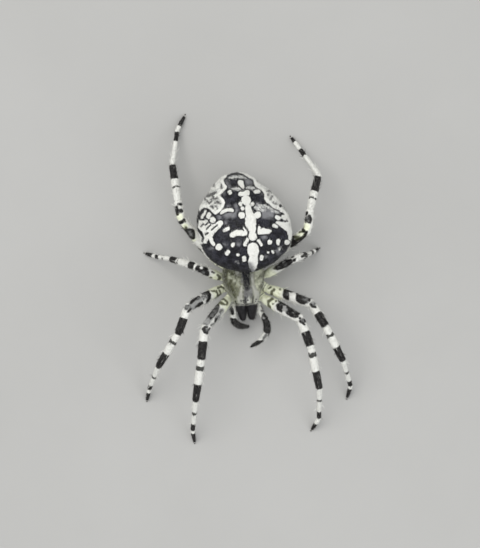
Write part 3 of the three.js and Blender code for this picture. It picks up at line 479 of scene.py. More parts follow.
# Joints of each palp, in millimetres from its root.
PALP_JOINTS = {"left": (2.1, 3.2, 4.7), "right": (1.1, 1.95, 2.7)}
# Aside, back and how far each leans back.
SPINNERETS = [(-0.3, 0.25, 0.5), (0.3, 0.25, 0.5), (-0.28, -0.3, 0.9), (0.28, -0.3, 0.9)]
# Sideways out, forward and up on the carapace, and the radius.
EYES = [
    ("eye_front_median", 0.27, 2.86, 4.72, 0.12), ("eye_rear_median", 0.25, 2.5, 5.22, 0.11),
    ("eye_front_lateral", 1.08, 2.72, 4.42, 0.095), ("eye_rear_lateral", 1.17, 2.5, 4.6, 0.095),
]
# Each eye sits in a cup with a rim: the height in millimetres, then places and widths in radii.
EYE_RIM, EYE_CUP = (0.03, 1.7, 0.4), (0.03, 1.2)
BARE_ROUND_EYES = 2.1  # no hair grows within so many radii of an eye
BARE_BEHIND_EYES = (0.0, 0.17, 0.34)  # nor of these places behind it, whose hairs would lie over it
HANDS = (("left", 1), ("right", -1))

# Hairs: low and high limits of their length and width, and of the degrees that they are lifted by.
FUR = {
    "short": ((0.22, 0.4), (0.016, 0.026), (14, 34)), "long": ((0.35, 0.5), (0.014, 0.022), (18, 36)),
    "carapace": ((0.25, 0.5), (0.018, 0.03), (12, 38)), "leg": ((0.16, 0.34), (0.016, 0.026), (18, 45)),
    "spine": ((0.5, 0.95), (0.045, 0.07), (32, 58)), "jaw": ((0.2, 0.45), (0.02, 0.032), (20, 50)),
    "palp": ((0.2, 0.45), (0.018, 0.028), (20, 50)),
}

WHITE = (0.86, 0.855, 0.81)
PALE = (0.7, 0.7, 0.67)
BLACK = (0.005, 0.005, 0.008)
SMOKE = (0.03, 0.03, 0.04)
ASH = (0.26, 0.26, 0.27)
WHITE_EDGE = (0.24, 3.2, 0.04)  # how far the edge of the white marks wanders, its grain and softness

# ---- places on the animal -----------------------------------------------------------------------
front_eyes = [np.array(corner) for hand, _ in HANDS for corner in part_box("eye_front_median_" + hand)]
MIDDLE = np.mean(front_eyes, axis=0)[:2] / MM - np.array(EYES_FROM_MIDDLE)


def turned(points, angle):
    """Points turned about the upright axis."""
    x, y, z = np.moveaxis(np.asarray(points, float), -1, 0)
    return np.stack([x * cos(angle) - y * sin(angle), x * sin(angle) + y * cos(angle), z], axis=-1)


def in_body(points):
    """Millimetres on the animal to metres in the scene."""
    return (turned(points, BODY_TURN) + (MIDDLE[0], MIDDLE[1], 0.0)) * MM


def on_head(points):
    """Millimetres on the carapace to millimetres on the animal."""
    return turned(points, CARAPACE_TURN)


def place(side, forward, up):
    return np.array([side, -forward, up])


def unit(vectors):
    return vectors / (np.linalg.norm(vectors, axis=-1, keepdims=True) + 1e-12)


def headed(directions):
    """Directions on the animal to directions in the scene."""
    return unit(in_body(directions) - in_body(np.zeros(3)))


def smooth_at(x, at, values):
    """Values on smooth curves through those that are given at a row of places."""
    i = np.clip(np.searchsorted(at, x, side="right") - 1, 0, len(at) - 2)
    before, after = np.maximum(i - 1, 0), np.minimum(i + 2, len(at) - 1)
    step = at[i + 1] - at[i]
    slope = (values[i + 1] - values[before]) / (at[i + 1] - at[before]) * step
    next_slope = (values[after] - values[i]) / (at[after] - at[i]) * step
    t = np.clip((x - at[i]) / step, 0, 1)
    return (
        (2 * t**3 - 3 * t**2 + 1) * values[i] + (t**3 - 2 * t**2 + t) * slope
        + (3 * t**2 - 2 * t**3) * values[i + 1] + (t**3 - t**2) * next_slope
    )


def off_line(x, y, start, end):
    """How far along a straight line each point lies, from 0 to 1, and its distance from it."""
    dx, dy = end[0] - start[0], end[1] - start[1]
    t = np.clip(((x - start[0]) * dx + (y - start[1]) * dy) / max(dx * dx + dy * dy, 1e-9), 0, 1)
    return t, np.hypot(x - start[0] - t * dx, y - start[1] - t * dy)


def inside_runs(runs, x, y):
    """How far each point lies inside runs of round spots joined in chains; negative outside."""
    depth = np.full(x.shape, -99.0)
    for run in runs:
        for start, end in zip(run, run[1:] or run):
            t, gap = off_line(x, y, start, end)
            depth = np.maximum(depth, start[2] + t * (end[2] - start[2]) - gap)
    return depth


def inside_outline(outline, x, y):
    """How far each point lies inside a closed outline; negative outside."""
    near = np.full(x.shape, 99.0)
    inside = np.zeros(x.shape, bool)
    for start, end in zip(outline, outline[1:] + outline[:1]):
        near = np.minimum(near, off_line(x, y, start, end)[1])
        (x0, y0), (x1, y1) = start, end
        if y1 != y0:
            inside ^= ((y0 > y) != (y1 > y)) & (x < (x1 - x0) * (y - y0) / (y1 - y0) + x0)
    return np.where(inside, near, -near)


def viewed(places):
    """Where places on the animal show in the view, as points across and down, and how many
    millimetres such a point measures there."""
    x, y, z = (in_body(places) / MM).T
    point = VIEW_HEIGHT / VIEW[1] * (CAMERA_HEIGHT - z) / (CAMERA_HEIGHT - BODY_HEIGHT)
    return VIEW[0] / 2 + (x - CAMERA_OVER[0]) / point, VIEW[1] / 2 - (y - CAMERA_OVER[1]) / point, point


def inside_marks(marks, places, inside=inside_runs):
    """How many millimetres places on the animal lie inside marks that are given in the view."""
    across, down, point = viewed(places)
    return inside(marks, across, down) * point


# ---- modelling ----------------------------------------------------------------------------------
def read(items, attribute, width=1, kind=np.float32):
    """An attribute of every item of a mesh, in a row for each item if it has several numbers."""
    values = np.empty(len(items) * width, kind)
    items.foreach_get(attribute, values)
    if kind is np.float32:
        values = values.astype(float)
    return values.reshape(-1, width) if width > 1 else values


def ball(name, around, rings):
    """A unit ball with its own even unwrap, the share of the way from its top to its bottom at
    which each vertex lies, and the vertex's angle round the upright axis."""
    bpy.ops.object.select_all(action="DESELECT")
    bpy.ops.mesh.primitive_uv_sphere_add(segments=around, ring_count=rings, radius=1.0)
    piece = bpy.context.active_object
    piece.name = name
    # its faces come in another order each run, and hairs are drawn by face, so they are sorted here
    loose = piece.data
    faces = sorted(loose.polygons, key=lambda face: tuple(face.vertices))
    piece.data = bpy.data.meshes.new(name)
    piece.data.from_pydata([spot.co for spot in loose.vertices], [], [tuple(face.vertices) for face in faces])
    unwrap = read(loose.uv_layers[0].data, "uv", 2)[[i for face in faces for i in face.loop_indices]]
    piece.data.uv_layers.new(name="OFBake").data.foreach_set("uv", unwrap.astype(np.float32).ravel())
    bpy.data.meshes.remove(loose)
    x, y, z = read(piece.data.vertices, "co", 3).T
    return piece, np.arctan2(np.hypot(x, y), z) / pi, np.arctan2(y, x)


def shape(piece, points):
    """Moves every vertex of a piece to its place, in metres, and smooths its shading."""
    piece.data.vertices.foreach_set("co", np.asarray(points, np.float32).ravel())
    piece.data.shade_smooth()
    piece.data.update()


def outward(piece):
    return read(piece.data.vertices, "normal", 3)


def press(piece, points, height):
    """Raises or sinks a shaped piece along its own normals, by millimetres."""
    shape(piece, points)
    shape(piece, points + outward(piece) * height[:, None] * MM)


def note(piece, **values):
    """Keeps a number at each vertex, for the finish to read."""
    for name, numbers in values.items():
        layer = piece.data.attributes.new(name, "FLOAT", "POINT")
        layer.data.foreach_set("value", np.asarray(numbers, np.float32).ravel())


def worn(piece, material, slot, *nodes):
    """Gives a finished piece its finish and its place in the frame."""
    piece.data.materials.clear()
    piece.data.materials.append(material)
    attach(piece, "root")
    if nodes:
        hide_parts(*nodes)


def loft(name, sections, around, rings, at=(0.0, 0.0), grow=0.0, crowded=0.0):
    """A body lofted along its forward axis through oval sections; returns it, its points and its
    measures. crowded draws the vertices of each ring together on the back, where marks are finest."""
    piece, pole, turn = ball(name, around, rings)
    turn = turn + crowded * np.cos(turn)
    stops, wide, middle, top, bottom, aside = np.array(sections, float).T
    forward = (stops[0] + stops[-1]) / 2 + np.cos(pole * pi) * (stops[-1] - stops[0]) / 2
    side, up = np.cos(turn), np.sin(turn)
    closed = (pole < 1e-4) | (pole > 1 - 1e-4)

    def size(values):
        found = np.sqrt(np.maximum(smooth_at(forward, stops, values**2), 0))
        return np.where(closed, 0, np.maximum(found + grow, 0))

    half, rise, drop = size(wide), size(top - middle), size(middle - bottom)
    middle, shift = smooth_at(forward, stops, middle), smooth_at(forward, stops, aside)
    across = shift + half * side
    height = middle + np.where(up > 0, rise, drop) * up
    points = np.stack([at[0] + across, at[1] - forward, height], axis=-1)
    return piece, points, dict(
        across=across, forward=forward, side=side, up=up, half=half, drop=drop, shift=shift, middle=middle
    )


def reaches(stops):
    """How far each of a row of stops lies along the row."""
    return np.concatenate([[0], np.cumsum(np.linalg.norm(np.diff(stops, axis=0), axis=1))])


def softened(values, width):
    """The same numbers with their corners rounded over a width, and both ends kept."""
    if width < 1:
        return values
    reach = int(3 * width)
    weights = np.exp(-0.5 * (np.arange(-reach, reach + 1) / width) ** 2)
    weights /= weights.sum()
    low = 2 * values[0] - values[reach:0:-1]
    high = 2 * values[-1] - values[-2:-reach - 2:-1]
    return np.convolve(np.concatenate([low, values, high]), weights, mode="valid")


def limb(name, stops, radii, around, rings, bend=0.2, girth=None):
    """A round limb swept through its stops, rounded at its bends over a bend in millimetres and
    domed at both ends; returns it, its points and its measures. girth(along) changes its radius."""
    piece, pole, turn = ball(name, around, rings)
    stops = np.asarray(stops, float)
    reach = reaches(stops)
    count = max(int(reach[-1] / SWEEP_STEP), 60)
    run = np.linspace(0, reach[-1], count)
    width = min(bend / run[1], count / 8)
    centre = np.stack([softened(np.interp(run, reach, row), width) for row in stops.T], axis=1)
    radius = softened(np.interp(run, reach, radii), width * 0.6)
    tangent = unit(np.gradient(centre, axis=0))
    side = np.cross((0, 0, 1) if abs(tangent[0][2]) < 0.99 else (1, 0, 0), tangent[0])
    sides = []
    for direction in tangent:
        side = unit(side - direction * side.dot(direction))
        sides.append(side)

    start, end = radius[0], radius[-1]
    along = -start + (1 - pole) * (reach[-1] + start + end)
    inside = np.clip(along, 0, reach[-1])

    def at(rows):
        return np.stack([np.interp(inside, run, row) for row in np.transpose(rows)], axis=1)

    heading, across = unit(at(tangent)), at(sides)
    over_end = np.where(along < 0, -along / start, np.maximum(along - reach[-1], 0) / end)
    thick = np.interp(inside, run, radius) * np.sqrt(np.maximum(1 - over_end**2, 0))
    if girth is not None:
        thick = thick * girth(along)
    out = across * np.cos(turn)[:, None] + np.cross(heading, across) * np.sin(turn)[:, None]
    points = at(centre) + heading * (along - inside)[:, None] + out * thick[:, None]
    return piece, points, dict(along=along, heading=heading, out=out, thick=thick)


def bell(x, middle, width):
    return np.exp(-(((x - middle) / width) ** 2))


def jointed(along, joints, plain, collar, waist):
    """The girth of a limb whose segments each end in a slight collar, after which the next starts
    narrow. collar and waist are a share of the girth, how far before or past the joint, a width."""
    girth = np.full(along.shape, plain)
    for joint in joints:
        girth += collar[0] * bell(along, joint - collar[1], collar[2])
        girth -= waist[0] * bell(along, joint + waist[1], waist[2])
    return girth


# ---- finishes -----------------------------------------------------------------------------------
def add(tree, kind, inputs=None, **settings):
    """A new node, with its inputs taken from other nodes' outputs or set to plain values."""
    made = tree.nodes.new(kind)
    made.location = (260 * (len(tree.nodes) % 9) - 1200, -220 * (len(tree.nodes) // 9))
    for name, value in settings.items():
        setattr(made, name, value)
    for key, value in (inputs or {}).items():
        if isinstance(value, bpy.types.NodeSocket):
            tree.links.new(value, made.inputs[key])
        else:
            made.inputs[key].default_value = value
    return made


def sums(tree, operation, *values):
    return add(tree, "ShaderNodeMath", dict(enumerate(values)), operation=operation).outputs[0]


def times(tree, value, share):
    return sums(tree, "MULTIPLY", value, share)


def ramp(tree, value, low, high):
    """From 0 at low to 1 at high, with soft ends."""
    limits = {"Value": value, "From Min": low, "From Max": high}
    return add(tree, "ShaderNodeMapRange", limits, interpolation_type="SMOOTHSTEP").outputs[0]


def over(tree, mask, below, above):
    """One colour laid over another through a mask."""
    below, above = (c if isinstance(c, bpy.types.NodeSocket) else (*c, 1.0) for c in (below, above))
    return add(tree, "ShaderNodeMix", {0: mask, 6: below, 7: above}, data_type="RGBA").outputs[2]


def noted(tree, name):
    return add(tree, "ShaderNodeAttribute", attribute_name=name).outputs["Fac"]


def noise(tree, where, scale, detail, roughness=0.5):
    values = {"Vector": where, "Scale": scale, "Detail": detail, "Roughness": roughness}
    return add(tree, "ShaderNodeTexNoise", values).outputs


def cells(tree, where, scale, feature):
    inputs = {"Vector": where, "Scale": scale}
    return add(tree, "ShaderNodeTexVoronoi", inputs, feature=feature).outputs["Distance"]


def group(name, inputs, outputs):
    """A new group, its inputs with their plain values, and its outputs."""
    made = bpy.data.node_groups.new(name, "ShaderNodeTree")
    for label, value in inputs.items():
        made.interface.new_socket(label, in_out="INPUT", socket_type="NodeSocketFloat").default_value = value
    for label in outputs:
        made.interface.new_socket(label, in_out="OUTPUT", socket_type="NodeSocketFloat")
    return made, add(made, "NodeGroupInput").outputs, add(made, "NodeGroupOutput").inputs


def in_millimetres(tree):
    where = add(tree, "ShaderNodeTexCoord").outputs["Object"]
    return add(tree, "ShaderNodeMapping", {"Vector": where, "Scale": (1000, 1000, 1000)}).outputs[0]


def mark_group():
    """A mark's mask, from how far inside it a point lies, with an edge that wanders a little."""
    tree, given, result = group("mark", {"Inside": 0.0, "Wander": 0.08, "Grain": 3.0, "Edge": 0.05}, ["Mask"])
    drift = sums(tree, "SUBTRACT", noise(tree, in_millimetres(tree), given["Grain"], 3.0)[0], 0.5)
    depth = sums(tree, "MULTIPLY_ADD", drift, given["Wander"], given["Inside"])
    mask = ramp(tree, depth, times(tree, given["Edge"], -1.0), given["Edge"])
    tree.links.new(mask, result["Mask"])
    return tree


def cloud_group():
    """Soft cloudy patches."""
    tree, given, result = group("cloud", {"Grain": 2.0, "Low": 0.4, "High": 0.65}, ["Mask"])
    patches = noise(tree, in_millimetres(tree), given["Grain"], 5.0, 0.6)[0]
    tree.links.new(ramp(tree, patches, given["Low"], given["High"]), result["Mask"])
    return tree


def cell_group():
    """Pale cells under the skin with dark lines between them."""
    tree, given, result = group("cells", {"Grain": 1.6, "Line": 0.12, "Sway": 0.5}, ["Lines", "Cells"])
    where = in_millimetres(tree)
    sway = {0: noise(tree, where, 1.3, 2.0)["Color"], "Scale": given["Sway"]}
    moved = add(tree, "ShaderNodeVectorMath", sway, operation="SCALE").outputs[0]
    swayed = add(tree, "ShaderNodeVectorMath", {0: where, 1: moved}, operation="ADD").outputs[0]
    edge = cells(tree, swayed, given["Grain"], "DISTANCE_TO_EDGE")
    tree.links.new(ramp(tree, edge, given["Line"], 0.0), result["Lines"])
    middle = cells(tree, swayed, given["Grain"], "F1")
    tree.links.new(ramp(tree, middle, 0.0, 0.7), result["Cells"])
    return tree


def grain_group():
    """The height of fine skin: small bumps with wider soft creases."""
    tree, given, result = group("skin grain", {"Grain": 14.0, "Creases": 3.0}, ["Height"])
    where = in_millimetres(tree)
    fine = cells(tree, where, given["Grain"], "SMOOTH_F1")
    wide = noise(tree, where, given["Creases"], 4.0)[0]
    tree.links.new(sums(tree, "MULTIPLY_ADD", fine, 0.5, wide), result["Height"])
    return tree


MARK, CLOUD, CELLS, GRAIN = mark_group(), cloud_group(), cell_group(), grain_group()


def place_group(tree, which, output=0, **inputs):
    return add(tree, "ShaderNodeGroup", inputs, node_tree=which).outputs[output]


def cloud(tree, grain, low, high):
    return place_group(tree, CLOUD, Grain=grain, Low=low, High=high)


def clouded(tree, first, second, grain, low, high):
    """A colour with soft patches of another."""
    return over(tree, cloud(tree, grain, low, high), first, second)


def mark(tree, name, wander, grain, edge):
    """The mask of a mark that is noted at the vertices."""
    return place_group(tree, MARK, Inside=noted(tree, name), Wander=wander, Grain=grain, Edge=edge)


def painted(tree, ground, *layers):
    """Marks laid over a ground one by one: name, wander, grain, edge, strength and colour."""
    for name, wander, grain, edge, strength, colour in layers:
        ground = over(tree, times(tree, mark(tree, name, wander, grain, edge), strength), ground, colour)
    return ground


def abdomen_colour(tree):
    """White marks on a dark leaf with black edges, and marbled flanks."""
    white, leaf, low = (noted(tree, name) for name in ("white", "leaf", "low"))

    # the leaf: smoky patches, ash-grey haze and black along every edge
    patchy = sums(tree, "MULTIPLY_ADD", cloud(tree, 3.2, 0.32, 0.56), 0.65, 0.35)
    ground = painted(
        tree, clouded(tree, BLACK, SMOKE, 1.1, 0.42, 0.62),
        ("cloud", 0.7, 2.2, 0.32, 0.9, ASH), ("pale", 0.75, 3.4, 0.16, patchy, PALE),
    )
    ground = over(tree, ramp(tree, white, -0.22, -0.08), ground, BLACK)
    ground = over(tree, ramp(tree, leaf, 0.18, 0.04), ground, BLACK)

    # the flanks: whitish cells parted by grey lines, browner below, and white beside the leaf
    flank = clouded(tree, (0.84, 0.835, 0.79), (0.65, 0.65, 0.615), 0.8, 0.5, 0.68)
    seams = place_group(tree, CELLS, "Lines", Grain=1.1, Line=0.13, Sway=0.8)
    flank = over(tree, times(tree, seams, 0.4), flank, (0.2, 0.2, 0.19))
    flank = painted(tree, flank, ("blot", 0.5, 4.0, 0.1, 0.9, (0.05, 0.05, 0.05)))
    flank = over(tree, times(tree, low, 0.8), flank, (0.13, 0.12, 0.095))
    rim = times(tree, ramp(tree, leaf, -0.42, -0.2), ramp(tree, leaf, -0.02, -0.1))
    rim = times(tree, rim, ramp(tree, low, 0.3, 0.0))
    flank = over(tree, times(tree, rim, 0.95), flank, WHITE)

    # guanine white: bright, with a faint pattern of cells in it, dulled where it fades out in front
    grains = place_group(tree, CELLS, "Cells", Grain=5.0, Line=0.1, Sway=0.1)
    bright = over(tree, times(tree, grains, 0.45), WHITE, (0.68, 0.675, 0.63))
    bright = painted(tree, bright, ("fade", 0.5, 2.0, 0.3, 1.0, (0.24, 0.24, 0.24)))

    # the leaf's edge is sharp on the back and grows ragged and soft below
    soft = ramp(tree, low, 0.0, 0.3)
    wander = sums(tree, "MULTIPLY_ADD", soft, 0.5, 0.14)
    edge = sums(tree, "MULTIPLY_ADD", soft, 0.28, 0.035)
    return painted(
        tree, flank,
        ("leaf", wander, 3.0, edge, 1.0, ground), ("belly", 0.4, 1.5, 0.2, 1.0, (0.02, 0.018, 0.016)),
        ("commas", 0.2, 2.5, 0.06, 1.0, (0.62, 0.58, 0.42)), ("white", *WHITE_EDGE, 1.0, bright),
        ("line", 0.08, 5.0, 0.035, 1.0, BLACK),
    )


def abdomen_height(tree):
    """Fine skin, with the white marks a little raised."""
    raised = times(tree, mark(tree, "white", *WHITE_EDGE), 0.25)
    return sums(tree, "ADD", place_group(tree, GRAIN, Grain=9.0, Creases=2.5), raised)


def leg_colour(tree):
    """White and near-black bands, with broken rings, grey clouds, a cream root with olive seams, and white
    spots, one of them a painted glint.
    """
    root = noted(tree, "root")
    light = over(tree, times(tree, cloud(tree, 4.0, 0.48, 0.7), 0.45), (0.75, 0.745, 0.7), (0.38, 0.38, 0.35))
    light = over(tree, root, light, clouded(tree, (0.85, 0.87, 0.69), (0.64, 0.66, 0.46), 2.2, 0.48, 0.7))
    shade = clouded(tree, (0.006, 0.005, 0.005), (0.022, 0.02, 0.019), 2.6, 0.42, 0.7)
    shade = over(tree, times(tree, root, 0.6), shade, (0.035, 0.034, 0.012))
    smoky = clouded(tree, (0.13, 0.13, 0.128), (0.4, 0.4, 0.38), 2.6, 0.38, 0.62)
    ash = clouded(tree, (0.04, 0.04, 0.04), (0.16, 0.16, 0.155), 3.0, 0.38, 0.62)
    return painted(
        tree, light,
        ("wash", 0.5, 2.4, 0.16, 1.0, smoky), ("olive", 0.25, 3.0, 0.08, 0.9, (0.05, 0.052, 0.018)),
        ("ring", 0.6, 3.2, 0.06, 1.0, (0.05, 0.05, 0.045)), ("dark", 0.25, 2.6, 0.07, 1.0, shade),
        ("grey", 0.4, 3.0, 0.14, 1.0, ash), ("pale", 0.4, 3.0, 0.14, 1.0, (0.33, 0.33, 0.32)),
        # white spots of the pale colour laid over the dark; the one on the third right leg is a painted glint
        ("white", 0.2, 3.0, 0.08, 1.0, light),
    )


def carapace_colour(tree):
    """Olive with pale mottling, a dark stripe down the middle, and pale streaks to the eyes; painted light
    makes the left half (+X) lighter and painted shade makes the right half darker.
    """
    mottle = cloud(tree, 1.5, 0.4, 0.62)
    # painted light and shade: the right half (-X) gets a darker, shaded copy of the olive and the left half
    # (+X) a lighter, lit copy, blended across by side
    right = over(tree, mottle, (0.12, 0.125, 0.075), (0.33, 0.34, 0.24))
    left = over(tree, mottle, (0.36, 0.37, 0.27), (0.7, 0.71, 0.56))
    ground = over(tree, ramp(tree, noted(tree, "side"), -0.2, 0.9), right, left)
    seams = place_group(tree, CELLS, "Lines", Grain=1.2, Line=0.1, Sway=0.6)
    ground = over(tree, times(tree, seams, 0.4), ground, (0.07, 0.07, 0.04))
    ash = clouded(tree, (0.07, 0.07, 0.075), (0.2, 0.2, 0.2), 2.6, 0.4, 0.62)
    return painted(
        tree, ground,
        ("pale", 0.6, 2.6, 0.2, 1.0, (0.46, 0.475, 0.37)),
        ("olive", 0.45, 2.2, 0.12, 0.9, (0.045, 0.047, 0.018)), ("grey", 0.3, 2.2, 0.14, 0.9, ash),
        ("stripe", 0.25, 2.0, 0.12, 1.0, (0.006, 0.006, 0.009)),
        ("streak", 0.2, 2.5, 0.09, 1.0, (0.64, 0.64, 0.58)),
        ("lines", 0.1, 3.0, 0.05, 1.0, (0.012, 0.012, 0.012)),
    )


def tipped(colour, low, high, strength, pale):
    """A colour that pales from low to high along each hair."""
    def made(tree):
        mask = times(tree, ramp(tree, noted(tree, "tip"), low, high), strength)
        return over(tree, mask, colour(tree), pale)
    return made


def grained(grain, creases):
    return lambda tree: place_group(tree, GRAIN, Grain=grain, Creases=creases)


def finish(name, roughness, specular, colour, height=None, strength=0.0, depth=0.0):
    """A new material. colour and height are functions of its node tree, depth is in millimetres."""
    made = bpy.data.materials.new(name)
    made.use_nodes = True
    tree = made.node_tree
    shader = tree.nodes["Principled BSDF"]
    shader.inputs["Roughness"].default_value = roughness
    shader.inputs["Specular IOR Level"].default_value = specular
    tree.links.new(colour(tree), shader.inputs["Base Color"])
    if height is not None:
        relief = {"Height": height(tree), "Strength": strength, "Distance": depth * MM}
        tree.links.new(add(tree, "ShaderNodeBump", relief).outputs[0], shader.inputs["Normal"])
    return made


def horn_finish(name, deep, light, roughness, specular, grain=4.0, depth=0.02):
    """Hard dark cuticle, clouded between two browns at a grain."""
    return finish(
        name, roughness, specular, lambda tree: clouded(tree, deep, light, grain, 0.4, 0.65),
        grained(18.0, 4.0), 0.25, depth,
    )


def eye_colour(tree):
    """Black with a little warm pigment."""
    return clouded(tree, (0.004, 0.003, 0.003), (0.02, 0.012, 0.008), 8.0, 0.4, 0.7)


def eye_finish():
    """Dark glass."""
    made = finish("eye_lens", 0.06, 0.6, eye_colour)
    shader = made.node_tree.nodes["Principled BSDF"]
    shader.inputs["Coat Weight"].default_value = 0.6
    shader.inputs["Coat Roughness"].default_value = 0.03
    return made


def floor_colour(tree):
    return clouded(tree, (0.415, 0.41, 0.395), (0.44, 0.435, 0.42), 0.02, 0.3, 0.7)


ABDOMEN_TIP, LEG_TIP, HEAD_TIP = (0.75, 0.74, 0.68), (0.8, 0.79, 0.73), (0.78, 0.78, 0.7)
FINISH = {
    "abdomen": finish("abdomen_skin", 0.5, 0.22, abdomen_colour, abdomen_height, 0.35, 0.05),
    "abdomen hair": finish("abdomen_hair", 0.6, 0.15, tipped(abdomen_colour, 0.2, 1.0, 0.22, ABDOMEN_TIP)),
    "leg": finish("leg_skin", 0.45, 0.2, leg_colour, grained(16.0, 5.0), 0.3, 0.03),
    "leg hair": finish("leg_hair", 0.5, 0.2, tipped(leg_colour, 0.1, 0.9, 0.35, LEG_TIP)),
    "leg spine": finish("leg_spine", 0.5, 0.2, tipped(leg_colour, 0.1, 0.9, 0.65, LEG_TIP)),
    "carapace": finish("carapace_skin", 0.42, 0.3, carapace_colour, grained(12.0, 3.0), 0.35, 0.04),
    # the carapace's hairs take its colour, painted light and shade on its two halves included
    "carapace hair": finish("carapace_hair", 0.55, 0.25, tipped(carapace_colour, 0.0, 0.8, 0.6, HEAD_TIP)),
    "jaw": horn_finish("jaw_horn", (0.004, 0.004, 0.006), (0.016, 0.014, 0.015), 0.34, 0.3),
    "fang": horn_finish("fang_horn", (0.012, 0.004, 0.002), (0.09, 0.03, 0.012), 0.15, 0.6, 2.0, 0.005),
    "claw": horn_finish("claw_horn", (0.012, 0.01, 0.009), (0.05, 0.035, 0.025), 0.25, 0.5, 4.0, 0.005),
    "bristle": horn_finish("dark_bristle", (0.008, 0.007, 0.008), (0.035, 0.03, 0.028), 0.5, 0.2, 4.0, 0.005),
    "sternum": horn_finish("sternum_skin", (0.018, 0.015, 0.012), (0.07, 0.055, 0.035), 0.4, 0.35, 2.0),
    "spinneret": horn_finish("spinneret_skin", (0.03, 0.025, 0.02), (0.13, 0.1, 0.07), 0.5, 0.3, 3.0),
    "eye": eye_finish(),
}


# ---- hairs --------------------------------------------------------------------------------------
def strand(sides):
    """One hair along Z, a length and a radius long, drawn out to a point from a soft shoulder."""
    bpy.ops.object.select_all(action="DESELECT")
    bpy.ops.mesh.primitive_cone_add(vertices=sides, radius1=1.0, radius2=0.0, depth=1.0, location=(0, 0, 0.5))
    piece = bpy.context.active_object
    bpy.ops.object.transform_apply()
    bpy.ops.object.mode_set(mode="EDIT")
    bpy.ops.mesh.select_all(action="SELECT")
    bpy.ops.mesh.bisect(plane_co=(0, 0, 0.5), plane_no=(0, 0, 1))
    bpy.ops.object.mode_set(mode="OBJECT")
    points = np.array([v.co for v in piece.data.vertices])
    shoulder = np.abs(points[:, 2] - 0.5) < 0.01
    points[shoulder, :2] *= 1.35
    faces = [np.array(p.vertices) for p in piece.data.polygons]
    bpy.data.objects.remove(piece)
    return points, faces


def copied(name, template, roots, heading, lean_out, length, radius, droop, patch, values):
    """One mesh of many copies of a hair, each at its root with its own heading, size and patch."""
    points, faces = template
    count, size = len(roots), len(points)
    side = unit(np.cross(lean_out, heading))
    out = np.cross(heading, side)
    long, wide, low = (numbers[:, None, None] for numbers in (length, radius, droop))
    x, y, t = (points[None, :, k:k + 1] for k in range(3))
    at = (
        roots[:, None] + heading[:, None] * (long * t) + side[:, None] * (wide * x)
        + out[:, None] * (wide * y - low * t**2)
    )
    at[..., 2] = np.maximum(at[..., 2], HAIR_OFF_FLOOR * MM)
    mesh = bpy.data.meshes.new(name)
    mesh.vertices.add(count * size)
    mesh.vertices.foreach_set("co", at.astype(np.float32).ravel())
    corners = np.concatenate(faces)
    mesh.loops.add(len(corners) * count)
    all_corners = corners[None] + np.arange(count)[:, None] * size
    mesh.loops.foreach_set("vertex_index", all_corners.astype(np.int32).ravel())
    ends = np.cumsum(np.tile([len(face) for face in faces], count))
    mesh.polygons.add(len(ends))
    mesh.polygons.foreach_set("loop_start", np.concatenate([[0], ends[:-1]]).astype(np.int32))
    mesh.update(calc_edges=True)
    spread = PATCH * (np.stack([points[:, 0] * 0.2 + 0.5, points[:, 2]], axis=1) - 0.5)
    uv = np.clip(patch[:, None] + spread[None, corners], 0.001, 0.999)
    mesh.uv_layers.new(name="OFBake").data.foreach_set("uv", uv.astype(np.float32).ravel())
    mesh.shade_smooth()
    piece = bpy.data.objects.new(name, mesh)
    bpy.context.scene.collection.objects.link(piece)
    note(piece, tip=np.tile(points[:, 2], count))
    note(piece, **{k: np.repeat(v, size) for k, v in values.items()})
    return piece


def coat(name, skin, flow, count, fur, seed, template, values, keep=None, scatter=0.35):
    """Hairs rooted all over a skin, lying along flow. fur names their sizes and lift, values are the
    skin's marks, and keep is how likely a hair grows at each vertex."""
    draw = np.random.default_rng(seed)
    mesh = skin.data
    start = read(mesh.polygons, "loop_start", kind=np.int32)
    corner = read(mesh.loops, "vertex_index", kind=np.int32)
    weight = read(mesh.polygons, "area")
    if keep is not None:
        weight = weight * np.clip(keep[corner[start]], 0, None)
    chosen = start[draw.choice(len(weight), size=count, p=weight / weight.sum())]
    s, t = draw.random(count), draw.random(count)
    flip = s + t > 1
    s, t = np.where(flip, 1 - s, s), np.where(flip, 1 - t, t)

    def blend(numbers):
        """The numbers at the roots, from those at the corners of their faces."""
        shares = (1 - s - t, s, t)
        return sum(numbers[corner[chosen + k]].T * share for k, share in enumerate(shares)).T

    length, width, lift = FUR[fur]
    out = unit(blend(outward(skin)))
    lie = blend(np.broadcast_to(flow, (len(mesh.vertices), 3))) + draw.normal(0, scatter, (count, 3))
    lie = unit(lie - out * np.sum(lie * out, axis=1)[:, None])
    angle = np.radians(draw.uniform(*lift, count))
    heading = lie * np.cos(angle)[:, None] + out * np.sin(angle)[:, None]
    long = draw.uniform(*length, count) * MM
    radius = draw.uniform(*width, count) * MM / 2
    roots = blend(read(mesh.vertices, "co", 3)) - out * ROOT_DEPTH * MM
    patch = read(mesh.uv_layers["OFBake"].data, "uv", 2)[chosen]
    return copied(
        name, template, roots, heading, out, long, radius, long * 0.22 * np.sin(angle), patch,
        {k: blend(v) for k, v in values.items()},
    )


HAIR, SPINE = strand(3), strand(5)

# ---- camera, floor and light --------------------------------------------------------------------
camera_data = bpy.data.cameras.new("camera")
camera_data.sensor_fit = "VERTICAL"
camera_data.sensor_height = SENSOR_HEIGHT
camera_data.sensor_width = SENSOR_HEIGHT * VIEW[0] / VIEW[1]
camera_data.lens = SENSOR_HEIGHT * (CAMERA_HEIGHT - BODY_HEIGHT) / VIEW_HEIGHT
camera_data.clip_start = 0.005
camera_data.clip_end = 20.0
camera = bpy.data.objects.new("camera", camera_data)
camera.location = (CAMERA_OVER[0] * MM, CAMERA_OVER[1] * MM, CAMERA_HEIGHT * MM)
bpy.context.scene.collection.objects.link(camera)
bpy.context.scene.camera = camera

bpy.ops.object.select_all(action="DESELECT")
bpy.ops.mesh.primitive_plane_add(size=4.0, location=(0, 0, 0))
floor = bpy.context.active_object
floor.name = "floor"
floor.data.materials.append(finish("pale_floor", 0.9, 0.1, floor_colour))


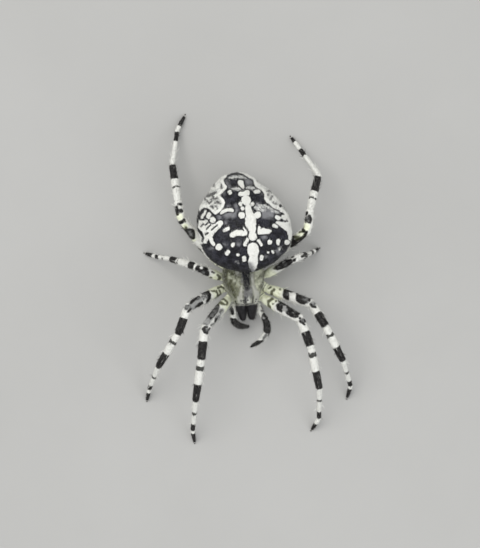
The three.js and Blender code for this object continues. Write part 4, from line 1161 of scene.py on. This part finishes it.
def lamp(name, at, size, power, colour):
    """A round lamp that looks at the animal."""
    data = bpy.data.lights.new(name, "AREA")
    data.shape, data.size, data.energy, data.color = "DISK", size, power, colour
    made = bpy.data.objects.new(name, data)
    made.location = at
    direction = -made.location.normalized()
    made.rotation_euler = direction.to_track_quat("-Z", "Y").to_euler()
    bpy.context.scene.collection.objects.link(made)


lamp("soft_key", (-0.3, 0.25, 0.75), 0.7, 3.6, (1.0, 0.985, 0.96))
lamp("soft_fill", (0.5, -0.45, 0.45), 0.6, 1.4, (0.95, 0.97, 1.0))
world = bpy.data.worlds.new("studio")
world.use_nodes = True
world.node_tree.nodes["Background"].inputs["Color"].default_value = (0.93, 0.95, 0.97, 1)
world.node_tree.nodes["Background"].inputs["Strength"].default_value = 0.85
bpy.context.scene.world = world
bpy.context.scene.view_settings.view_transform = "Standard"

# ---- abdomen ------------------------------------------------------------------------------------
abdomen, points, form = loft("abdomen_skin", ABDOMEN_SECTIONS, 344, 288, ABDOMEN_AT, -COAT_DEPTH, 0.35)
across, forward, side, below_middle = form["across"], form["forward"], form["side"], form["up"] < 0
below = np.arcsin(np.clip(-form["up"], 0, 1))
level = np.where(below_middle, form["middle"], points[:, 2])


def beside(across):
    """Places across from the abdomen's axis; the underside's are laid out flat beside the back."""
    return np.stack([ABDOMEN_AT[0] + across, points[:, 1], level], axis=-1)


# under the front end the leaf's two halves meet, and its edge there is ragged
laid_out = [beside(form["shift"] + s * (form["half"] + form["drop"] * below * 0.9)) for s in (-1, 1)]
halves = [inside_marks(LEAF_EDGE, places, inside_outline) for places in laid_out]
share = np.clip(0.5 + 1.5 * side, 0, 1)
ragged = 0.08 * np.sin(5.0 * across + 3.0 * forward) + 0.06 * np.sin(11.0 * across - 5.0 * forward)
leaf_below = halves[0] * (1 - share) + halves[1] * share + ragged * np.clip(3 * below, 0, 1)
sides = np.where((side > 0)[:, None], laid_out[1], laid_out[0])
spread = np.where(below_middle[:, None], sides, points)
marks = {name: inside_marks(runs, spread) for name, runs in ABDOMEN_MARKS.items()}
marks["leaf"] = np.where(below_middle, leaf_below, inside_marks(LEAF_EDGE, points, inside_outline))
marks["low"] = np.clip((below - 0.5) / 0.9, 0, 1)
for name, runs in BELLY_MARKS.items():
    marks[name] = np.where(form["up"] < -0.1, inside_runs(runs, across, forward), -3.0)

# four pairs of small dimples where muscles hold the back, and soft folds on the flanks
pairs = ((1.0, 2.2), (1.25, 0.1), (1.05, -1.3), (0.85, -2.6))
dimples = [[(sign * aside - 0.2, front, 0.13)] for _, sign in HANDS for aside, front in pairs]
height = -0.06 * np.clip(1 + inside_runs(dimples, across, forward) / 0.18, 0, 1) ** 2 * (form["up"] > 0)
folds = np.sin(forward * 5.2 + 1.5 * np.sin(across * 0.8)) * np.clip(np.abs(side) - 0.55, 0, 1)
press(abdomen, in_body(points), height + 0.035 * folds)
note(abdomen, **marks)
worn(abdomen, FINISH["abdomen"], "abdomen_skin", "abdomen")
flow = headed((0.0, 1.0, -0.15)) + (0.0, 0.0, -0.35)
for part, seed, count in (("short", 11, 18000), ("long", 12, 2600)):
    hair = coat("abdomen_hair_" + part, abdomen, flow, count, part, seed, HAIR, marks)
    worn(hair, FINISH["abdomen hair"], "abdomen_skin")

# ---- carapace, with its eyes --------------------------------------------------------------------
carapace, points, form = loft("carapace_skin", CARAPACE_SECTIONS, 240, 200, grow=-COAT_DEPTH)
across, forward, top = form["across"], form["forward"], form["up"] > 0
height = np.zeros(len(points))
for deep, soft, runs in CARAPACE_GROOVES:
    height -= top * deep * np.clip(1 + inside_runs(runs, across, forward) / soft, 0, 1) ** 2
bare = np.zeros(len(points), bool)
for name, aside, front, up, radius in EYES:
    for _, sign in HANDS:
        eye_at = place(sign * aside, front, up)
        gap = np.linalg.norm(points - eye_at, axis=1) / radius
        height += EYE_RIM[0] * bell(gap, *EYE_RIM[1:]) - EYE_CUP[0] * np.exp(-((gap / EYE_CUP[1]) ** 4))
        for behind in BARE_BEHIND_EYES:
            gap = np.linalg.norm(points - eye_at - (0, behind, 0), axis=1)
            bare |= gap < BARE_ROUND_EYES * radius
press(carapace, in_body(on_head(points)), height)
seen = on_head(points)
marks = {name: np.where(top, inside_marks(runs, seen), -3) for name, runs in CARAPACE_MARKS.items()}
# side is how far across the carapace each vertex lies; the finish uses it for painted light, lighter on the
# left half and darker on the right
marks.update(side=across, olive=np.where(top, marks["olive"], -0.15))
note(carapace, **marks)
worn(carapace, FINISH["carapace"], "carapace", "cephalothorax")
# hairs stand closest on the pale streaks and round the rim
grows = 0.35 + 1.6 * (marks["streak"] > -0.15) + 0.6 * (np.abs(across) > form["half"] - 0.5)
grows = np.where(bare, 0, np.where(top, grows, 0.02))
flow = headed((0.0, -1.0, 0.25))
hair = coat("carapace_hair", carapace, flow, 3600, "carapace", 21, HAIR, marks, keep=grows)
worn(hair, FINISH["carapace hair"], "carapace")

for name, aside, front, up, radius in EYES:
    for hand, sign in HANDS:
        eye, pole, turn = ball(name + "_lens_" + hand, 32, 20)
        out = np.sin(pole * pi)
        lens = np.stack([out * np.cos(turn), out * np.sin(turn), np.cos(pole * pi)], axis=1) * radius
        shape(eye, in_body(on_head(lens + place(sign * aside, front, up))))
        worn(eye, FINISH["eye"], "eye", name + "_" + hand)

# ---- sternum, lip and pedicel -------------------------------------------------------------------
sternum, points, _ = loft("sternum_skin", STERNUM_SECTIONS, 96, 80)
shape(sternum, in_body(on_head(points)))
worn(sternum, FINISH["sternum"], "carapace", "cephalothorax")
pedicel, points, _ = limb(
    "pedicel_skin", [place(0, -2.2, 3.45), place(0.75, -4.0, 3.85)], (0.5, 0.47), 40, 50,
    girth=lambda along: 0.93 + 0.05 * np.cos(along * 14),
)
shape(pedicel, in_body(points))
worn(pedicel, FINISH["spinneret"], "dark_cuticle", "cephalothorax")
lip, points, _ = limb("lip", [place(0, 2.2, 2.35), place(0, 2.62, 2.3)], (0.34, 0.24), 32, 32)
shape(lip, in_body(on_head(points)))
worn(lip, FINISH["sternum"], "carapace", "cephalothorax")


# ---- legs ---------------------------------------------------------------------------------------
def heading_of(sign, yaw, pitch):
    a, b = radians(yaw), radians(pitch)
    return np.array([sign * cos(a) * cos(b), -sin(a) * cos(b), sin(b)])


def leg_run(sign, pair, stance):
    """The stops and radii of a leg from its coxa to its tip, and the mark at each stop: 0 to 6."""
    (aside, forward, up), yaws, pitches = stance
    thick, *parts = LEG_PARTS[pair]
    start = place(COXA_FROM[pair][0] * sign, *COXA_FROM[pair][1:])
    joint = place(aside * sign, forward, up)
    coxa = enumerate((0.42, 0.95 * thick, thick, 0.84 * thick))
    run = [(start + (joint - start) * i / 4, radius, i / 4) for i, radius in coxa]
    for i, (length, sizes) in enumerate(parts):
        pitch = pitches[i] if i < 4 else -np.degrees(np.arcsin((joint[2] - TARSUS_END) / length))
        heading = heading_of(sign, yaws[i], pitch)
        up = np.cross(unit(np.cross(heading, (0, 0, 1))), heading)
        arch = FEMUR_ARCH[pair] if i == 0 else 0.0
        for k in range(LEG_STEPS + (i == 4)):
            t = k / LEG_STEPS
            radius = np.interp(t, np.linspace(0, 1, len(sizes)), sizes)
            run.append((joint + heading * length * t + up * arch * 4 * t * (1 - t), radius, i + 1 + t))
        joint = joint + heading * length
    return (np.array(column) for column in zip(*run))


def inside_bands(bands, where, along):
    """How far a point along a limb lies inside its bands, given by their marks."""
    depth = np.full(along.shape, -5.0)
    for low, high in bands:
        depth = np.maximum(depth, np.minimum(along - where(low), where(high) - along))
    return depth


def limb_marks(marks, where, points, form, root_end):
    """A limb's marks at each vertex; those on its back are mirrored on its underside."""
    along = form["along"]
    back = unit(np.array([0.0, 0.0, 1.0]) - form["heading"] * form["heading"][:, 2:])
    under = np.minimum(np.sum(form["out"] * back, axis=1), 0) * form["thick"]
    above = points - 2 * under[:, None] * back
    kinds = ("dark", "grey", "pale", "wash", "olive", "white", "straw")
    depths = {kind: inside_marks(marks.get(kind, []), above) for kind in kinds}
    for kind, bands in (("dark", marks.get("bands", [])), ("olive", [ROOT_SEAM])):
        depths[kind] = np.maximum(depths[kind], inside_bands(bands, where, along))
    depths["ring"] = inside_bands(marks.get("rings", []), where, along)
    root = np.clip((where(root_end) - along) / 0.8, 0, 1)
    depths["root"] = np.maximum(root, np.clip(depths.pop("straw") / 0.2 + 0.6, 0, 1))
    return depths


def claws(name, tip, heading):
    """Two claws under a tarsus's tip, and the hook between them."""
    flat = unit(np.array([heading[0], heading[1], 0.0]))
    side = np.array([-flat[1], flat[0], 0.0])
    pieces = []
    for k, (across, size) in enumerate(((0.045, 1.0), (-0.045, 1.0), (0.0, 0.7))):
        curve = ((0.02, 0.06), (0.13, 0.075 * size), (0.2, 0.03), (0.19, 0.012))
        stops = [tip + side * across + flat * out * size + (0, 0, up) for out, up in curve]
        piece, points, _ = limb(name + "_%d" % k, stops, (0.03, 0.024, 0.012, 0.004), 10, 24, bend=0.04)
        shape(piece, in_body(points))
        pieces.append(piece)
    bpy.ops.object.select_all(action="DESELECT")
    for piece in pieces:
        piece.select_set(True)
    bpy.context.view_layer.objects.active = pieces[0]
    bpy.ops.object.join()
    pieces[0].name = pieces[0].data.name = name
    return pieces[0]


for hand, sign in HANDS:
    for pair, stance in enumerate(STANCE[hand]):
        name = "leg%d_%s" % (pair + 1, hand)
        stops, radii, at_stops = leg_run(sign, pair, stance)
        reach = reaches(stops)

        def where(mark):
            """How far along the leg one of its marks lies."""
            return np.interp(mark, at_stops, reach)

        def girth(along):
            return jointed(along, where(range(1, 6)), LEG_GIRTH, (0.07, 0.17, 0.14), (0.17, 0.07, 0.1))

        leg, points, form = limb(name + "_skin", stops, radii, 32, 380, bend=0.17, girth=girth)
        points[:, 2] = np.maximum(points[:, 2], 0.0)
        shape(leg, in_body(points))
        marks = limb_marks(LEG_MARKS[hand, pair], where, points, form, ROOT_ENDS[pair])
        note(leg, **marks)
        nodes = [name + "_" + part for part in ("coxa", "femur", "patella", "tibia", "foot")]
        worn(leg, FINISH["leg"], "banded_cuticle", *nodes)

        along, flow = form["along"], headed(form["heading"])
        share = 0.55 if pair == 2 else 1.0
        seed = 100 + 10 * pair + (hand == "left")
        grows = np.clip((along - where(0.9)) / 0.5, 0, 1)
        hair = coat(name + "_hair", leg, flow, int(2600 * share), "leg", seed, HAIR, marks, keep=grows)
        worn(hair, FINISH["leg hair"], "banded_cuticle")
        grows = np.clip((along - where(1.15)) / 0.5, 0, 1) * np.clip((where(5.0) - along) / 0.5, 0, 1)
        spines = coat(
            name + "_spines", leg, flow, int(46 * share), "spine", seed + 50, SPINE, marks,
            keep=grows * (form["out"][:, 2] > -0.6), scatter=0.15,
        )
        worn(spines, FINISH["leg spine"], "banded_cuticle")
        end = np.argmax(along)
        claw = claws(name + "_claws", points[end] * (1, 1, 0), form["heading"][end])
        worn(claw, FINISH["claw"], "dark_cuticle")

# ---- mouth parts --------------------------------------------------------------------------------
for hand, sign in HANDS:
    start, end = (place(aside * sign, forward, up) for aside, forward, up in CHELICERA)
    jaw, points, form = limb(
        "chelicera_skin_" + hand, [start + (end - start) * k / 4 for k in range(5)], CHELICERA_RADII, 48, 64,
        bend=0.3, girth=lambda along: 1.0 + 0.04 * np.sin(along * 2.2),
    )
    # the two jaws stay off each other
    points[:, 0] = sign * np.maximum(sign * points[:, 0], 0.03)
    shape(jaw, in_body(on_head(points)))
    worn(jaw, FINISH["jaw"], "jaw", "chelicera_" + hand)
    grows = (form["along"] > 0.4).astype(float)
    flow = (in_body(end) - in_body(start)) / MM / 3
    bristles = coat("chelicera_bristles_" + hand, jaw, flow, 260, "jaw", 31 + sign, HAIR, {}, keep=grows)
    worn(bristles, FINISH["bristle"], "jaw")

    a, b, c = (place(aside * sign, forward, up) for aside, forward, up in FANG)
    t = np.linspace(0, 1, 9)
    curve = [(1 - k) ** 2 * a + 2 * k * (1 - k) * b + k * k * c for k in t]
    fang, points, _ = limb("fang_horn_" + hand, curve, FANG_RADIUS * (1 - 0.88 * t**1.2), 28, 60, bend=0.08)
    shape(fang, in_body(on_head(points)))
    worn(fang, FINISH["fang"], "fang", "fang_" + hand)

    def girth(along):
        return jointed(along, PALP_JOINTS[hand], 0.95, (0.06, 0.12, 0.1), (0.14, 0.05, 0.08))

    stops = [place(aside * sign, forward, up) for aside, forward, up, _ in PALPS[hand]]
    radii = [stop[3] for stop in PALPS[hand]]
    palp, points, form = limb("palp_skin_" + hand, stops, radii, 32, 160, girth=girth)
    shape(palp, in_body(points))
    marks = limb_marks(PALP_MARKS[hand], float, points, form, 0.9)
    note(palp, **marks)
    worn(palp, FINISH["leg"], "banded_cuticle", "palp_" + hand)
    flow, grows = headed(form["heading"]), np.clip(form["along"] / 1.5, 0.1, 1)
    hair = coat("palp_hair_" + hand, palp, flow, 900, "palp", 41 + sign, HAIR, marks, keep=grows)
    worn(hair, FINISH["leg hair"], "banded_cuticle")

# ---- spinnerets ---------------------------------------------------------------------------------
nozzle = place(-0.62, -4.3, 2.15) + (*ABDOMEN_AT, 0.0)
for k, (aside, back, lean) in enumerate(SPINNERETS):
    start = nozzle + (aside * 0.6, -back * 0.6, 0.1)
    direction = unit(np.array([aside * 0.5, lean * 0.7, -1.0]))
    cone, points, _ = limb(
        "spinneret_%d" % (k + 1), [start + direction * 0.25 * i for i in range(4)], (0.35, 0.33, 0.23, 0.12),
        32, 40, bend=0.05, girth=lambda along: 1.0 - 0.08 * bell(along, 0.45, 0.06),
    )
    shape(cone, in_body(points))
    worn(cone, FINISH["spinneret"], "dark_cuticle", "spinnerets")
